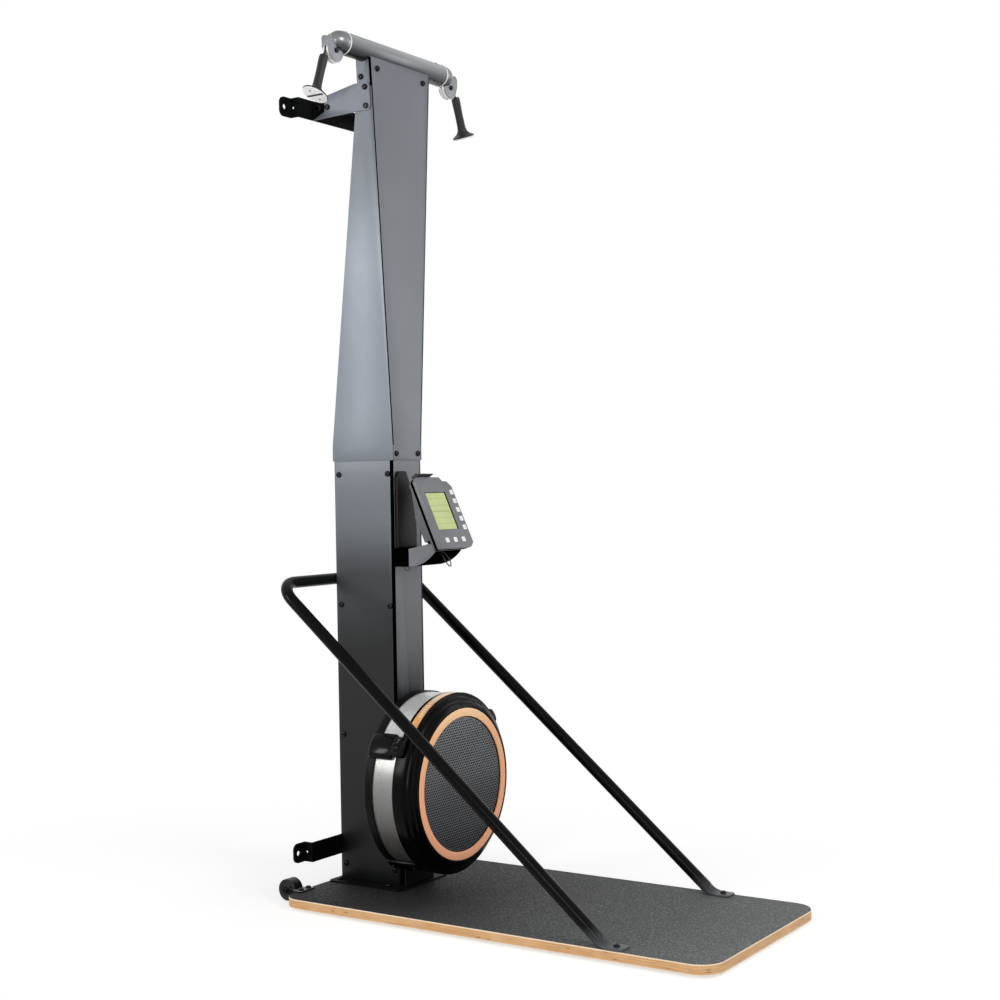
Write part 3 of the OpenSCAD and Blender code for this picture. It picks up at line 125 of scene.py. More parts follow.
def tint(code):
    # a colour as a screen shows it, turned into linear light
    parts = [int(code[i:i + 2], 16) / 255 for i in (1, 3, 5)]
    return tuple(c / 12.92 if c <= 0.04045 else ((c + 0.055) / 1.055) ** 2.4 for c in parts) + (1.0,)


def addNode(tree, kind, inputs=None, **settings):
    node = tree.nodes.new(kind)
    for key, value in settings.items():
        setattr(node, key, value)
    for key, value in (inputs or {}).items():
        if isinstance(value, bpy.types.NodeSocket):
            tree.links.new(value, node.inputs[key])
        else:
            node.inputs[key].default_value = value
    return node


def calc(tree, operation, *values, **more):
    # one step of arithmetic on sockets and numbers
    return addNode(tree, "ShaderNodeMath", dict(enumerate(values)), operation=operation, **more).outputs[0]


def remap(tree, value, low, high, start, end, **more):
    return addNode(tree, "ShaderNodeMapRange", dict(enumerate((value, low, high, start, end))), **more).outputs[0]


def mixColour(tree, share, first, second, **more):
    first, second = (tint(c) if isinstance(c, str) else c for c in (first, second))
    return addNode(tree, "ShaderNodeMix", {0: share, 6: first, 7: second}, data_type="RGBA", **more).outputs[2]


def noise(tree, where, scale, detail, rough=0.5):
    return addNode(tree, "ShaderNodeTexNoise", {"Vector": where, "Scale": scale, "Detail": detail, "Roughness": rough}).outputs


def axes(tree, where):
    return addNode(tree, "ShaderNodeSeparateXYZ", {0: where}).outputs


studio = {
    "floorSize": 40, "worldStrength": 0.42, "floorLift": 0.3,
    "shadow": (0.495, 1.3, 0.45),  # where it starts to fade, where it ends, how pale it is at its darkest
    "lamps": [  # place, aimed at, size, watts
        ((-3.5, 2.95, 2.15), (0.0, 0.4, 1.6), (0.8, 1.5), 60),
        ((-3.2, -0.7, 1.5), (0.0, 0.1, 0.8), (0.3, 2.2), 30),
        ((-0.6, -3.4, 3.4), (0.0, 0.1, 1.1), (1.4, 1.4), 66),
        ((3.1, -2.3, 2.0), (0.0, 0.2, 1.5), (1.0, 2.6), 24),
    ],
}


def seenDirectly(tree):
    # 1 for rays from the camera, a mirror or through glass
    path = addNode(tree, "ShaderNodeLightPath")
    total = calc(tree, "MAXIMUM", path.outputs["Is Camera Ray"], path.outputs["Is Glossy Ray"])
    return calc(tree, "MAXIMUM", total, path.outputs["Is Transmission Ray"])


def makeStudio(look):
    half = look["floorSize"] / 2
    mesh = bpy.data.meshes.new("floor")
    mesh.from_pydata([(x, y, 0) for x, y in rect(-half, -half, half, half)], [], [(0, 1, 2, 3)])
    linked("floor", mesh)
    # a pale floor that keeps the shadow near the machine and is plain white further out
    paint = bpy.data.materials.new("paleFloor")
    paint.use_nodes = True
    tree = paint.node_tree
    tree.nodes.clear()
    where = addNode(tree, "ShaderNodeTexCoord").outputs["Object"]
    flat = addNode(tree, "ShaderNodeVectorMath", {0: where, 1: (1.0, 0.62, 0.0)}, operation="MULTIPLY")
    away = addNode(tree, "ShaderNodeVectorMath", {0: flat.outputs[0]}, operation="LENGTH")
    fade = remap(tree, away.outputs["Value"], *look["shadow"], 1.0, interpolation_type="SMOOTHSTEP")
    share = calc(tree, "MULTIPLY", seenDirectly(tree), fade)
    matt = addNode(tree, "ShaderNodeBsdfDiffuse", {"Color": tint("#f6f6f6")})
    white = addNode(tree, "ShaderNodeEmission", {"Color": (1, 1, 1, 1), "Strength": 1.0})
    raised = calc(tree, "MULTIPLY", seenDirectly(tree), look["floorLift"])
    glow = addNode(tree, "ShaderNodeEmission", {"Color": (1, 0.995, 0.985, 1), "Strength": raised})
    lit = addNode(tree, "ShaderNodeAddShader", {0: matt.outputs[0], 1: glow.outputs[0]})
    mix = addNode(tree, "ShaderNodeMixShader", {0: share, 1: lit.outputs[0], 2: white.outputs[0]})
    addNode(tree, "ShaderNodeOutputMaterial", {"Surface": mix.outputs[0]})
    mesh.materials.append(paint)

    world = bpy.data.worlds.new("studio")
    scene.world = world
    world.use_nodes = True
    tree = world.node_tree
    tree.nodes.clear()
    soft = addNode(tree, "ShaderNodeBackground", {"Color": (1, 1, 1, 1), "Strength": look["worldStrength"]})
    white = addNode(tree, "ShaderNodeBackground", {"Color": (1, 1, 1, 1), "Strength": 1.0})
    mix = addNode(tree, "ShaderNodeMixShader", {0: seenDirectly(tree), 1: soft.outputs[0], 2: white.outputs[0]})
    addNode(tree, "ShaderNodeOutputWorld", {"Surface": mix.outputs[0]})

    for i, (place, aim, size, watts) in enumerate(look["lamps"]):
        lamp = bpy.data.lights.new(f"softBox{i}", "AREA")
        lamp.shape, lamp.size, lamp.size_y, lamp.energy = "RECTANGLE", size[0], size[1], watts
        box = linked(f"softBox{i}", lamp)
        box.location = place
        box.rotation_euler = (Vector(aim) - Vector(place)).to_track_quat("-Z", "Y").to_euler()
    scene.view_settings.view_transform = "Standard"


makeCamera(cameraView)
makeStudio(studio)
print("camera and studio made")

# finishes
def newGroup(name, inputs, outputs, kind="ShaderNodeTree"):
    group = bpy.data.node_groups.new(name, kind)
    for label, socket, value in inputs:
        made = group.interface.new_socket(label, in_out="INPUT", socket_type=socket)
        if value is not None:
            made.default_value = value
    for label, socket in outputs:
        group.interface.new_socket(label, in_out="OUTPUT", socket_type=socket)
    return group, group.nodes.new("NodeGroupInput"), group.nodes.new("NodeGroupOutput")


def makeGrainGroup():
    # fine grain for paint and moulded plastic: two colours, a roughness that drifts, and a height
    group, given, result = newGroup("surfaceGrain", [
        ("Vector", "NodeSocketVector", None), ("Base", "NodeSocketColor", (0.5, 0.5, 0.5, 1)),
        ("Deep", "NodeSocketColor", (0.4, 0.4, 0.4, 1)), ("Grain Scale", "NodeSocketFloat", 900.0),
        ("Patch Scale", "NodeSocketFloat", 7.0), ("Roughness", "NodeSocketFloat", 0.4),
        ("Spread", "NodeSocketFloat", 0.12)],
        [("Color", "NodeSocketColor"), ("Roughness", "NodeSocketFloat"), ("Height", "NodeSocketFloat")])
    o = given.outputs
    fine = noise(group, o["Vector"], o["Grain Scale"], 2.0, 0.6)
    patch = noise(group, o["Vector"], o["Patch Scale"], 4.0, 0.55)
    blend = calc(group, "ADD", fine[0], patch[0])
    share = remap(group, blend, 0.75, 1.25, 0.0, 1.0)
    colour = mixColour(group, share, o["Base"], o["Deep"])
    drift = calc(group, "ADD", patch[0], -0.5)
    rough = calc(group, "MULTIPLY_ADD", drift, o["Spread"], o["Roughness"])
    group.links.new(colour, result.inputs["Color"])
    group.links.new(rough, result.inputs["Roughness"])
    group.links.new(fine[0], result.inputs["Height"])
    return group


def makeSpeckGroup():
    # sparse specks of dust and handling marks, as a mask
    group, given, result = newGroup("dustSpecks", [
        ("Vector", "NodeSocketVector", None), ("Scale", "NodeSocketFloat", 260.0), ("Amount", "NodeSocketFloat", 0.2)],
        [("Mask", "NodeSocketFloat")])
    o = given.outputs
    cells = addNode(group, "ShaderNodeTexVoronoi", {"Vector": o["Vector"], "Scale": o["Scale"]})
    size = remap(group, cells.outputs["Distance"], 0.06, 0.16, 1.0, 0.0)
    patch = noise(group, o["Vector"], 5.0, 3.0)
    where = remap(group, patch[0], 0.5, 0.75, 0.0, 1.0)
    both = calc(group, "MULTIPLY", size, where)
    mask = calc(group, "MULTIPLY", both, o["Amount"], use_clamp=True)
    group.links.new(mask, result.inputs["Mask"])
    return group


grainGroup, speckGroup = makeGrainGroup(), makeSpeckGroup()


def newMaterial(name):
    paint = bpy.data.materials.new(name)
    paint.use_nodes = True
    tree = paint.node_tree
    tree.nodes.clear()
    where = addNode(tree, "ShaderNodeTexCoord").outputs["Object"]
    return paint, tree, where


def finishShader(tree, colour, rough, height, depth, fixed):
    bump = addNode(tree, "ShaderNodeBump", {"Height": height, "Distance": depth, "Strength": 1.0})
    shader = addNode(tree, "ShaderNodeBsdfPrincipled", {"Base Color": colour, "Roughness": rough, "Normal": bump.outputs[0]})
    for key, value in fixed.items():
        shader.inputs[key].default_value = value
    addNode(tree, "ShaderNodeOutputMaterial", {"Surface": shader.outputs[0]})
    return shader


def dusted(tree, where, colour, amount, dust):
    specks = addNode(tree, "ShaderNodeGroup", {"Vector": where, "Amount": amount}, node_tree=speckGroup)
    return mixColour(tree, specks.outputs[0], colour, dust)


def grainMaterial(name, base, deep, rough, spread, grain, depth, patch, specks=0.0, **fixed):
    # a paint, metal or moulded finish that needs no pattern of its own
    paint, tree, where = newMaterial(name)
    body = addNode(tree, "ShaderNodeGroup", {
        "Vector": where, "Base": tint(base), "Deep": tint(deep), "Grain Scale": grain, "Patch Scale": patch,
        "Roughness": rough, "Spread": spread}, node_tree=grainGroup)
    colour = body.outputs["Color"]
    if specks:
        colour = dusted(tree, where, colour, specks, "#8f8d88")
    finishShader(tree, colour, body.outputs["Roughness"], body.outputs["Height"], depth, fixed)
    return paint


def setting(**kw):
    # the shader's own sockets, by short names
    names = {"metal": "Metallic", "shine": "Specular IOR Level"}
    return {names[k]: v for k, v in kw.items()}


def paintedLightMaterial(name, lightAndShade, rough=0.4, metal=0.15, shine=0.3, depth=0.00009):
    # a satin coat with painted light and shade: its colour changes slowly with height, standing in for the sheen and
    # shade that lamps would give: (height in metres, colour)
    paint, tree, where = newMaterial(name)
    body = addNode(tree, "ShaderNodeGroup", {
        "Vector": where, "Base": (1, 1, 1, 1), "Deep": (0.82, 0.82, 0.82, 1), "Grain Scale": 700.0, "Patch Scale": 3.0,
        "Roughness": rough, "Spread": 0.1}, node_tree=grainGroup)
    parts = axes(tree, where)
    ramp = addNode(tree, "ShaderNodeValToRGB", {0: remap(tree, parts[2], 0.0, fullHeight, 0.0, 1.0)})
    stops = ramp.color_ramp.elements
    ramp.color_ramp.interpolation = "EASE"
    while len(stops) < len(lightAndShade):
        stops.new(0.5)
    for stop, (height, code) in zip(stops, lightAndShade):
        stop.position, stop.color = height / fullHeight, tint(code)
    colour = mixColour(tree, 1.0, ramp.outputs[0], body.outputs["Color"], blend_type="MULTIPLY")
    colour = dusted(tree, where, colour, 0.05, "#a2a3a4")
    finishShader(tree, colour, body.outputs["Roughness"], body.outputs["Height"], depth, setting(metal=metal, shine=shine))
    return paint


fullHeight = 2.2  # metres

plainFinishes = {  # name, colour, deeper colour, roughness, its spread, grain, relief in metres, patches, dust, sockets
    "gussetCoat": ("graphiteGussetCoat", "#6d727b", "#646972", 0.4, 0.1, 900, 0.00009, 5, 0.04, {"metal": 0.15, "shine": 0.3}),
    "cheekPaint": ("greyCheekPaint", "#8b8e93", "#7d8085", 0.36, 0.1, 1500, 0.00004, 9, 0, {"metal": 0.15, "shine": 0.3}),
    "baseBlack": ("blackPowderCoat", "#0a0b0b", "#050606", 0.55, 0.12, 1300, 0.00006, 6, 0.04, {"shine": 0.06}),
    "forkZinc": ("forkTopPaintedLight", "#7c7d7c", "#6c6d6c", 0.42, 0.12, 900, 0.00004, 12, 0.05, {"metal": 0.3}),
    "jointBlack": ("flatBlackAndPaintedShade", "#030303", "#010101", 0.85, 0.1, 900, 0.00002, 12, 0, {"shine": 0.0}),
    "fastener": ("blackOxideSteel", "#2b2c2e", "#141516", 0.18, 0.08, 900, 0.000004, 30, 0, {"metal": 0.95}),
    "ringWhite": ("whiteNylon", "#f8f8f7", "#eeeeed", 0.4, 0.1, 600, 0.00003, 14, 0, {}),
    "innerSteel": ("zincSheet", "#8d9194", "#6f7376", 0.42, 0.2, 300, 0.00003, 22, 0, {"metal": 0.9}),
    "bearingSteel": ("groundSteel", "#b9bcbe", "#9da0a2", 0.22, 0.1, 1900, 0.00001, 30, 0, {"metal": 1.0}),
    "drumMetal": ("castDrum", "#6a6d70", "#585b5e", 0.4, 0.16, 800, 0.00005, 14, 0, {"metal": 0.9}),
    "impellerMetal": ("impellerPaint", "#0e0f10", "#080809", 0.5, 0.14, 900, 0.00005, 9, 0, {"shine": 0.2}),
    "pulleyWhite": ("whiteAcetal", "#ecebe6", "#dbdad4", 0.34, 0.1, 700, 0.00003, 18, 0, {}),
    "housingBlack": ("glossHousingPlastic", "#040404", "#020202", 0.22, 0.05, 700, 0.000002, 5, 0.02, {"shine": 0.06}),
    "rearBlack": ("satinHousingPlastic", "#080809", "#040405", 0.4, 0.1, 1000, 0.00003, 7, 0.03, {"shine": 0.08}),
    "clipBlack": ("glossClipPlastic", "#040404", "#020202", 0.16, 0.06, 600, 0.000002, 8, 0, {"shine": 0.1}),
    "wireBlack": ("wireJacket", "#141414", "#0b0b0b", 0.42, 0.1, 900, 0.00004, 30, 0, {}),
    "coverBlack": ("blackCoverPlastic", "#101111", "#090a0a", 0.46, 0.12, 900, 0.00006, 8, 0, {"shine": 0.16}),
    "gripRubber": ("gripRubber", "#222223", "#161617", 0.42, 0.12, 1300, 0.00004, 16, 0, {"shine": 0.3}),
    "stopSilver": ("silverGreyPlastic", "#ececec", "#dcdcdc", 0.36, 0.14, 900, 0.00003, 16, 0, {}),
    "monitorGrey": ("greyMonitorPlastic", "#747579", "#67686c", 0.46, 0.1, 1500, 0.00006, 12, 0, {"shine": 0.3}),
    "monitorShell": ("greyShellPlastic", "#5f6064", "#545559", 0.46, 0.1, 1500, 0.00006, 12, 0, {"shine": 0.3}),
    "monitorDark": ("darkMonitorPlastic", "#1a1b1c", "#111213", 0.4, 0.1, 1400, 0.00005, 12, 0, {"shine": 0.3}),
    "keyWhite": ("whiteSilicone", "#f2f2f0", "#e6e6e4", 0.45, 0.1, 800, 0.00002, 20, 0, {}),
    "keyMark": ("greyKeyInk", "#d2d3d5", "#c6c7c9", 0.5, 0.1, 800, 0.00001, 20, 0, {}),
    "wheelRubber": ("wheelRubber", "#101010", "#080808", 0.4, 0.14, 900, 0.00006, 14, 0.06, {"shine": 0.3}),
    "footRubber": ("brownishRubber", "#2b211b", "#1a1411", 0.6, 0.12, 900, 0.0001, 14, 0.1, {"shine": 0.3}),
}

paintedLightFinishes = {  # name, painted light and shade by height (height in metres, colour), then roughness, metal, shine and relief
    # towerSide and towerFront are lit and shaded copies of one graphite coat: painted sheen at mid height, painted
    # shade towards the bottom
    "towerSide": ("graphiteSideCoat", [(0.1, "#0b0c0d"), (0.62, "#141516"), (0.82, "#36383b"), (1.0, "#676c72"), (1.25, "#8a9099"),
                                       (1.62, "#8b929b"), (1.95, "#666b72")]),
    "towerFront": ("graphiteFrontCoat", [(0.1, "#0f1010"), (0.5, "#36383a"), (0.7, "#616366"), (0.9, "#777a7e"), (1.4, "#73767c"),
                                         (2.1, "#666970")]),
    # painted highlight band on the tube's upper half, painted shade on its underside
    "tubeCoat": ("graphiteTubeCoat", [(2.139, "#131416"), (2.150, "#2c2e31"), (2.160, "#5f6265"), (2.171, "#8b8e91"),
                                      (2.184, "#9fa2a5"), (2.196, "#5c5f62")], 0.3, 0.35, 0.5),
    # painted highlight band round the hood caps just above the middle, painted shade below it and at the top
    "hoodCap": ("greyHoodCap", [(2.139, "#16171a"), (2.153, "#3f4245"), (2.166, "#8c8f92"), (2.178, "#7a7d80"), (2.196, "#34363a")],
                0.26, 0.45, 0.6),
    # painted reflection on the flattened foot plates, which are lighter below 0.05 m, and a painted highlight on top of
    # the cross piece
    "railBlack": ("glossBlackPaint", [(0.034, "#5c5f61"), (0.047, "#3c3e40"), (0.08, "#070708"), (0.3, "#050505"),
                                      (0.79, "#050505"), (0.836, "#1c1d1e")], 0.22, 0.0, 0.07, 0.000001),
    # painted shade on the lower part of the mesh band and a painted highlight towards its top
    "meshSteel": ("nickelMesh", [(0.08, "#393837"), (0.2, "#6c6b69"), (0.35, "#a3a2a0"), (0.42, "#d4d3d1"), (0.48, "#ffffff")],
                  0.36, 0.5, 0.45),
    # painted shade: the grille darkens towards the bottom and lightens towards the top
    "grilleBlack": ("blackGrillePaint", [(0.12, "#3a3b3e"), (0.24, "#5b5d60"), (0.36, "#7c7e81"), (0.48, "#8a8c8f")],
                    0.34, 0.3, 0.3, 0.00001),
    # painted highlight: the copper ring lightens towards its top
    "copper": ("peachAnodised", [(0.1, "#ffb48a"), (0.3, "#ffb284"), (0.42, "#ffbd8a"), (0.5, "#ffd3a4")], 0.36, 0.1, 0.3, 0.00002),
}

paints = {key: grainMaterial(*values, **setting(**sockets)) for key, (*values, sockets) in plainFinishes.items()}
paints.update({key: paintedLightMaterial(*values) for key, values in paintedLightFinishes.items()})
print("finishes made")

# mesh tools
def filleted(corners, steps=4, closed=False):
    # a line of (across, along, radius) corners, given back with its corners rounded
    line, count = [], len(corners)
    for i, (x, y, radius) in enumerate(corners):
        here = Vector((x, y))
        if radius <= 0 or (not closed and i in (0, count - 1)):
            line.append(here)
            continue
        back = Vector(corners[i - 1][:2]) - here
        on = Vector(corners[(i + 1) % count][:2]) - here
        half = back.angle(on) / 2
        cut = min(radius / math.tan(half), back.length * 0.49, on.length * 0.49)
        fit = cut * math.tan(half)
        centre = here + (back.normalized() + on.normalized()).normalized() * (fit / math.sin(half))
        start = here + back.normalized() * cut - centre
        end = here + on.normalized() * cut - centre
        sweep = start.angle(end)
        for k in range(steps + 1):
            t = k / steps
            line.append(centre + (start * math.sin((1 - t) * sweep) + end * math.sin(t * sweep)) / math.sin(sweep))
    return [tuple(p) for p in line]


def addLoft(bm, rings, capped=True, looped=False):
    # joins rings of points with faces; v runs along the rings in metres, u once round
    layer = bm.loops.layers.uv.verify()
    made = [[bm.verts.new(p) for p in ring] for ring in rings]
    along = [0.0]
    for a, b in zip(rings, rings[1:]):
        along.append(along[-1] + (sum(map(Vector, b), Vector()) / len(b) - sum(map(Vector, a), Vector()) / len(a)).length)
    count = len(rings[0])
    pairs = list(range(len(rings) - 1)) + ([-1] if looped else [])
    for i in pairs:
        a, b = made[i], made[i + 1]
        for k in range(count):
            j = (k + 1) % count
            face = bm.faces.new((a[k], a[j], b[j], b[k]))
            for loop, uv in zip(face.loops, ((k, i), (k + 1, i), (k + 1, i + 1), (k, i + 1))):
                loop[layer].uv = (uv[0] / count, along[uv[1]])
    if capped and not looped:
        bm.faces.new(made[0][::-1])
        bm.faces.new(made[-1])


def addLathe(bm, line, place, sides=96, closed=False):
    # turns a line of (radius, height) in millimetres round the Z axis of a matrix
    rings = []
    for r, h in line:
        if r < 1e-6:
            rings.append([bm.verts.new(place @ Vector((0, 0, h * mm)))])
        else:
            angles = turns(sides)
            rings.append([bm.verts.new(place @ (Vector((r * math.cos(a), r * math.sin(a), h)) * mm)) for a in angles])
    for a, b in zip(rings, rings[1:] + (rings[:1] if closed else [])):
        for k in range(sides):
            j = (k + 1) % sides
            face = []
            for v in (a[k % len(a)], a[j % len(a)], b[j % len(b)], b[k % len(b)]):
                if v not in face:
                    face.append(v)
            if len(face) > 2:
                bm.faces.new(face)


def addPrism(bm, outline, low, high, place, edge=0.0, steps=3):
    # a plate of an outline in millimetres between two heights, with both rims rounded
    count = len(outline)
    area = sum(outline[i - 1][0] * outline[i][1] - outline[i][0] * outline[i - 1][1] for i in range(count))
    turn = 1 if area > 0 else -1
    inward = []
    for i in range(count):
        a = Vector(outline[i]) - Vector(outline[i - 1])
        b = Vector(outline[(i + 1) % count]) - Vector(outline[i])
        na, nb = (Vector((-v.y, v.x)).normalized() * turn for v in (a, b))
        n = na + nb
        inward.append(n / max(n.length_squared / 2, 0.4))
    rings = []
    for end, sign in ((low, 1), (high, -1)):
        part = []
        for k in range(steps + 1):
            t = math.pi / 2 * k / steps
            inset, drop = edge * (1 - math.sin(t)), edge * (1 - math.cos(t))
            part.append([place @ (Vector((p[0] + n.x * inset, p[1] + n.y * inset, end + sign * drop)) * mm)
                         for p, n in zip(outline, inward)])
        rings += part if sign > 0 else part[::-1]
    if not edge:
        rings = [rings[0], rings[-1]]
    addLoft(bm, rings)


def pathFrames(points, up=Vector((0, 1, 0))):
    # a point, a side and an up direction at each step of a path, turned as little as it allows
    frames, side = [], None
    for i, p in enumerate(points):
        ahead = (points[min(i + 1, len(points) - 1)] - points[max(i - 1, 0)]).normalized()
        side = (up if side is None else side)
        side = (side - ahead * side.dot(ahead)).normalized()
        frames.append((p, side, ahead.cross(side)))
    return frames


def addTube(bm, points, radius, sides=12):
    rings = []
    for i, (p, side, up) in enumerate(pathFrames(points)):
        r = radius[i] if isinstance(radius, list) else radius
        rings.append([p + (side * math.cos(a) + up * math.sin(a)) * r
                      for a in turns(sides)])
    addLoft(bm, rings)


def smoothPath(points, per=6):
    # a Catmull-Rom line through the points
    out = []
    ends = [points[0] * 2 - points[1]] + points + [points[-1] * 2 - points[-2]]
    for a, b, c, d in zip(ends, ends[1:], ends[2:], ends[3:]):
        for k in range(per):
            t = k / per
            out.append((b * 2 + (c - a) * t + (a * 2 - b * 5 + c * 4 - d) * t * t + (b * 3 - a - c * 3 + d) * t ** 3) / 2)
    return out + [points[-1]]


def meshOf(bm, name):
    mesh = bpy.data.meshes.new(name)
    bm.to_mesh(mesh)
    bm.free()
    return mesh


def bmeshOf(mesh):
    bm = bmesh.new()
    bm.from_mesh(mesh)
    return bm


def finished(name, bm, paint, crease, recalc=True):
    # outward faces, finish and smooth shading
    if recalc:
        bmesh.ops.recalc_face_normals(bm, faces=bm.faces[:])
    mesh = meshOf(bm, name)
    for one in paint if isinstance(paint, list) else [paint]:
        mesh.materials.append(paints[one])
    mesh.shade_smooth()
    mesh.set_sharp_from_angle(angle=math.radians(crease))
    return linked(name, mesh)


def makePiece(name, bm, paint, gone=(), near=None, body=None, slot=None, crease=40, recalc=True):
    # the last step of nearly every mesh: its body, which may come from a node near it, and the nodes it stands for; its
    # slot is not used
    piece = finished(name, bm, paint, crease, recalc)
    near = near or (gone[0] if gone else None)
    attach(piece, body or nodes[near]["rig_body"])
    if gone:
        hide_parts(*gone)
    return piece


def plate(name, paint, outline, low, high, place, edge=0.0, steps=3, **more):
    bm = bmesh.new()
    addPrism(bm, outline, low, high, place, edge, steps)
    return makePiece(name, bm, paint, **more)


def turned(name, paint, line, place, sides=96, closed=False, **more):
    bm = bmesh.new()
    addLathe(bm, line, place, sides, closed)
    return makePiece(name, bm, paint, **more)


def softened(name, node, paint, width):
    # a merged copy of a CAD node with its long sharp edges rounded
    bm = bmeshOf(nodes[node].data)
    bmesh.ops.remove_doubles(bm, verts=bm.verts[:], dist=1.5e-5)
    bmesh.ops.dissolve_limit(bm, angle_limit=math.radians(0.4), verts=bm.verts[:], edges=bm.edges[:])
    edges = [e for e in bm.edges if len(e.link_faces) == 2 and e.calc_length() > 3 * mm and e.calc_face_angle(0) > math.radians(38)]
    bmesh.ops.bevel(bm, geom=edges, offset=width * mm, offset_type="OFFSET", segments=2, profile=0.5, affect="EDGES",
                    clamp_overlap=True, miter_outer="SHARP")
    return makePiece(name, bm, paint, gone=(node,), crease=32, recalc=False)


def evaluated(carrier):
    # the object's mesh with its modifiers applied; the object goes
    graph = bpy.context.evaluated_depsgraph_get()
    made = bpy.data.meshes.new_from_object(carrier.evaluated_get(graph), depsgraph=graph)
    carrier.modifiers.clear()
    bpy.data.objects.remove(carrier)
    return made


def bakeTree(name, mesh, group, values):
    # runs a geometry tree on a mesh and gives the result as a plain mesh
    carrier = linked(name, mesh)
    grow = carrier.modifiers.new("grow", "NODES")
    grow.node_group = group
    for item in group.interface.items_tree:
        if item.item_type == "SOCKET" and item.in_out == "INPUT" and item.name in values:
            grow[item.identifier] = values[item.name]
    return evaluated(carrier)


# cords and wires
cordFacts = {"radius": 2.5, "pitchRadius": 27, "tubeY": 20, "inner": (49, 2125), "outer": (245, 2140),
             "drumX": -30, "drumZ": 303, "tilt": 20, "lead": 28}


def braidMaterial():
    # black braided sheath: crossing strands that follow the cord
    paint, tree, _ = newMaterial("blackBraid")
    uv = addNode(tree, "ShaderNodeTexCoord").outputs["UV"]
    parts = axes(tree, uv)
    around, run = calc(tree, "MULTIPLY", parts[0], 6.0), calc(tree, "MULTIPLY", parts[1], 420.0)
    heights = [calc(tree, "PINGPONG", calc(tree, kind, around, run), 0.5) for kind in ("ADD", "SUBTRACT")]
    top = calc(tree, "MAXIMUM", *heights)
    colour = remap(tree, top, 0.1, 0.5, 0.0, 1.0)
    mixed = mixColour(tree, colour, "#0c0c0d", "#2b2b2d")
    rough = remap(tree, top, 0.0, 0.5, 0.75, 0.5)
    finishShader(tree, mixed, rough, top, 0.0004, {})
    return paint


paints["cord"] = braidMaterial()


def arcPoints(x, z, radius, start, end, count, y):
    return [spot(x + radius * math.cos(math.radians(a)), y, z + radius * math.sin(math.radians(a)))
            for a in (start + (end - start) * i / count for i in range(count + 1))]


def makePullCords(f):
    lean = math.degrees(math.atan2(f["outer"][1] - f["inner"][1], f["outer"][0] - f["inner"][0]))
    for side, sign, drumY in (("left", 1, 38), ("right", -1, 72)):
        route = [spot(f["drumX"], drumY, f["drumZ"]), spot(f["drumX"], drumY, f["drumZ"] + 12)]
        over = arcPoints(-f["inner"][0], f["inner"][1], f["pitchRadius"], 0, 90 + lean, 8, f["tubeY"])
        over += arcPoints(-f["outer"][0], f["outer"][1], f["pitchRadius"], 90 + lean, 180 - f["tilt"], 6, f["tubeY"])
        route += [Vector((p.x * sign, p.y, p.z)) for p in over]
        bm = bmesh.new()
        addTube(bm, route, f["radius"] * mm, 16)
        cord = makePiece(f"{side}PullCord", bm, "cord", body="frame", slot="cord", crease=60)
        if side == "left":
            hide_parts("pull_cords")
        top = route[-1]
        down = Vector((-sign * math.sin(math.radians(f["tilt"])), 0, -math.cos(math.radians(f["tilt"]))))
        end = top + down * f["lead"] * mm
        bm = bmesh.new()
        addTube(bm, [top.lerp(end, i / 14) for i in range(15)], f["radius"] * mm, 16)
        lead = finished(f"{side}CordLead", bm, "cord", 60)
        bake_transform(lead)
        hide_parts(f"{side}_cord_lead")


makePullCords(cordFacts)

armTop = 902.94
wireLoops = {
    "frontSensorWire": (1.5, [(6, 96, -2.93), (6, 96, 4), (6, 100, 12), (8, 108, 26), (14, 114, 41), (22, 117, 48), (28, 116, 42),
                              (27, 112, 30), (20, 106, 17), (15, 99, 10), (14, 96, 4), (14, 96, -2.93)]),
    "rearSensorWire": (1.0, [(-46, 22, 46.2), (-45, 22, 51), (-38, 23, 57), (-28, 22, 57), (-22, 20, 52), (-21, 20, 46.2)]),
}


def makeWires(loops):
    for name, (radius, points) in loops.items():
        path = smoothPath([spot(x, -front, armTop - drop) for x, front, drop in points], 4)
        bm = bmesh.new()
        addTube(bm, path, radius * mm, 12)
        wire = makePiece(name, bm, "wireBlack", body="frame", slot="wire_black", crease=60)


def makeSensorBlock(low, high):
    # the pick-up inside the fan's back
    bm = bmesh.new()
    bmesh.ops.create_cube(bm, size=1, matrix=Matrix.Translation((low + high) / 2) @ Matrix.Diagonal((*(high - low), 1)))
    block = makePiece("sensorBlock", bm, "coverBlack", gone=("speed_sensor",), body="frame", slot="wire_black", crease=32)
    rim = block.modifiers.new("rims", "BEVEL")
    rim.width, rim.segments, rim.limit_method, rim.angle_limit = 1.2 * mm, 2, "ANGLE", math.radians(40)


makeWires(wireLoops)
makeSensorBlock(spot(-9, -31, 423), spot(9, -23, 453))
print("cords and wires made")

# geometry trees for what repeats
def startTree(name, inputs):
    given = [("Geometry", "NodeSocketGeometry", None)] + inputs + [("Finish", "NodeSocketMaterial", None)]
    group, given, result = newGroup(name, given, [("Geometry", "NodeSocketGeometry")], "GeometryNodeTree")
    return group, given.outputs, result


def endTree(group, given, result, geometry):
    whole = addNode(group, "GeometryNodeRealizeInstances", {0: geometry})
    painted = addNode(group, "GeometryNodeSetMaterial", {"Geometry": whole.outputs[0], "Material": given["Finish"]})
    group.links.new(painted.outputs[0], result.inputs[0])
    return group


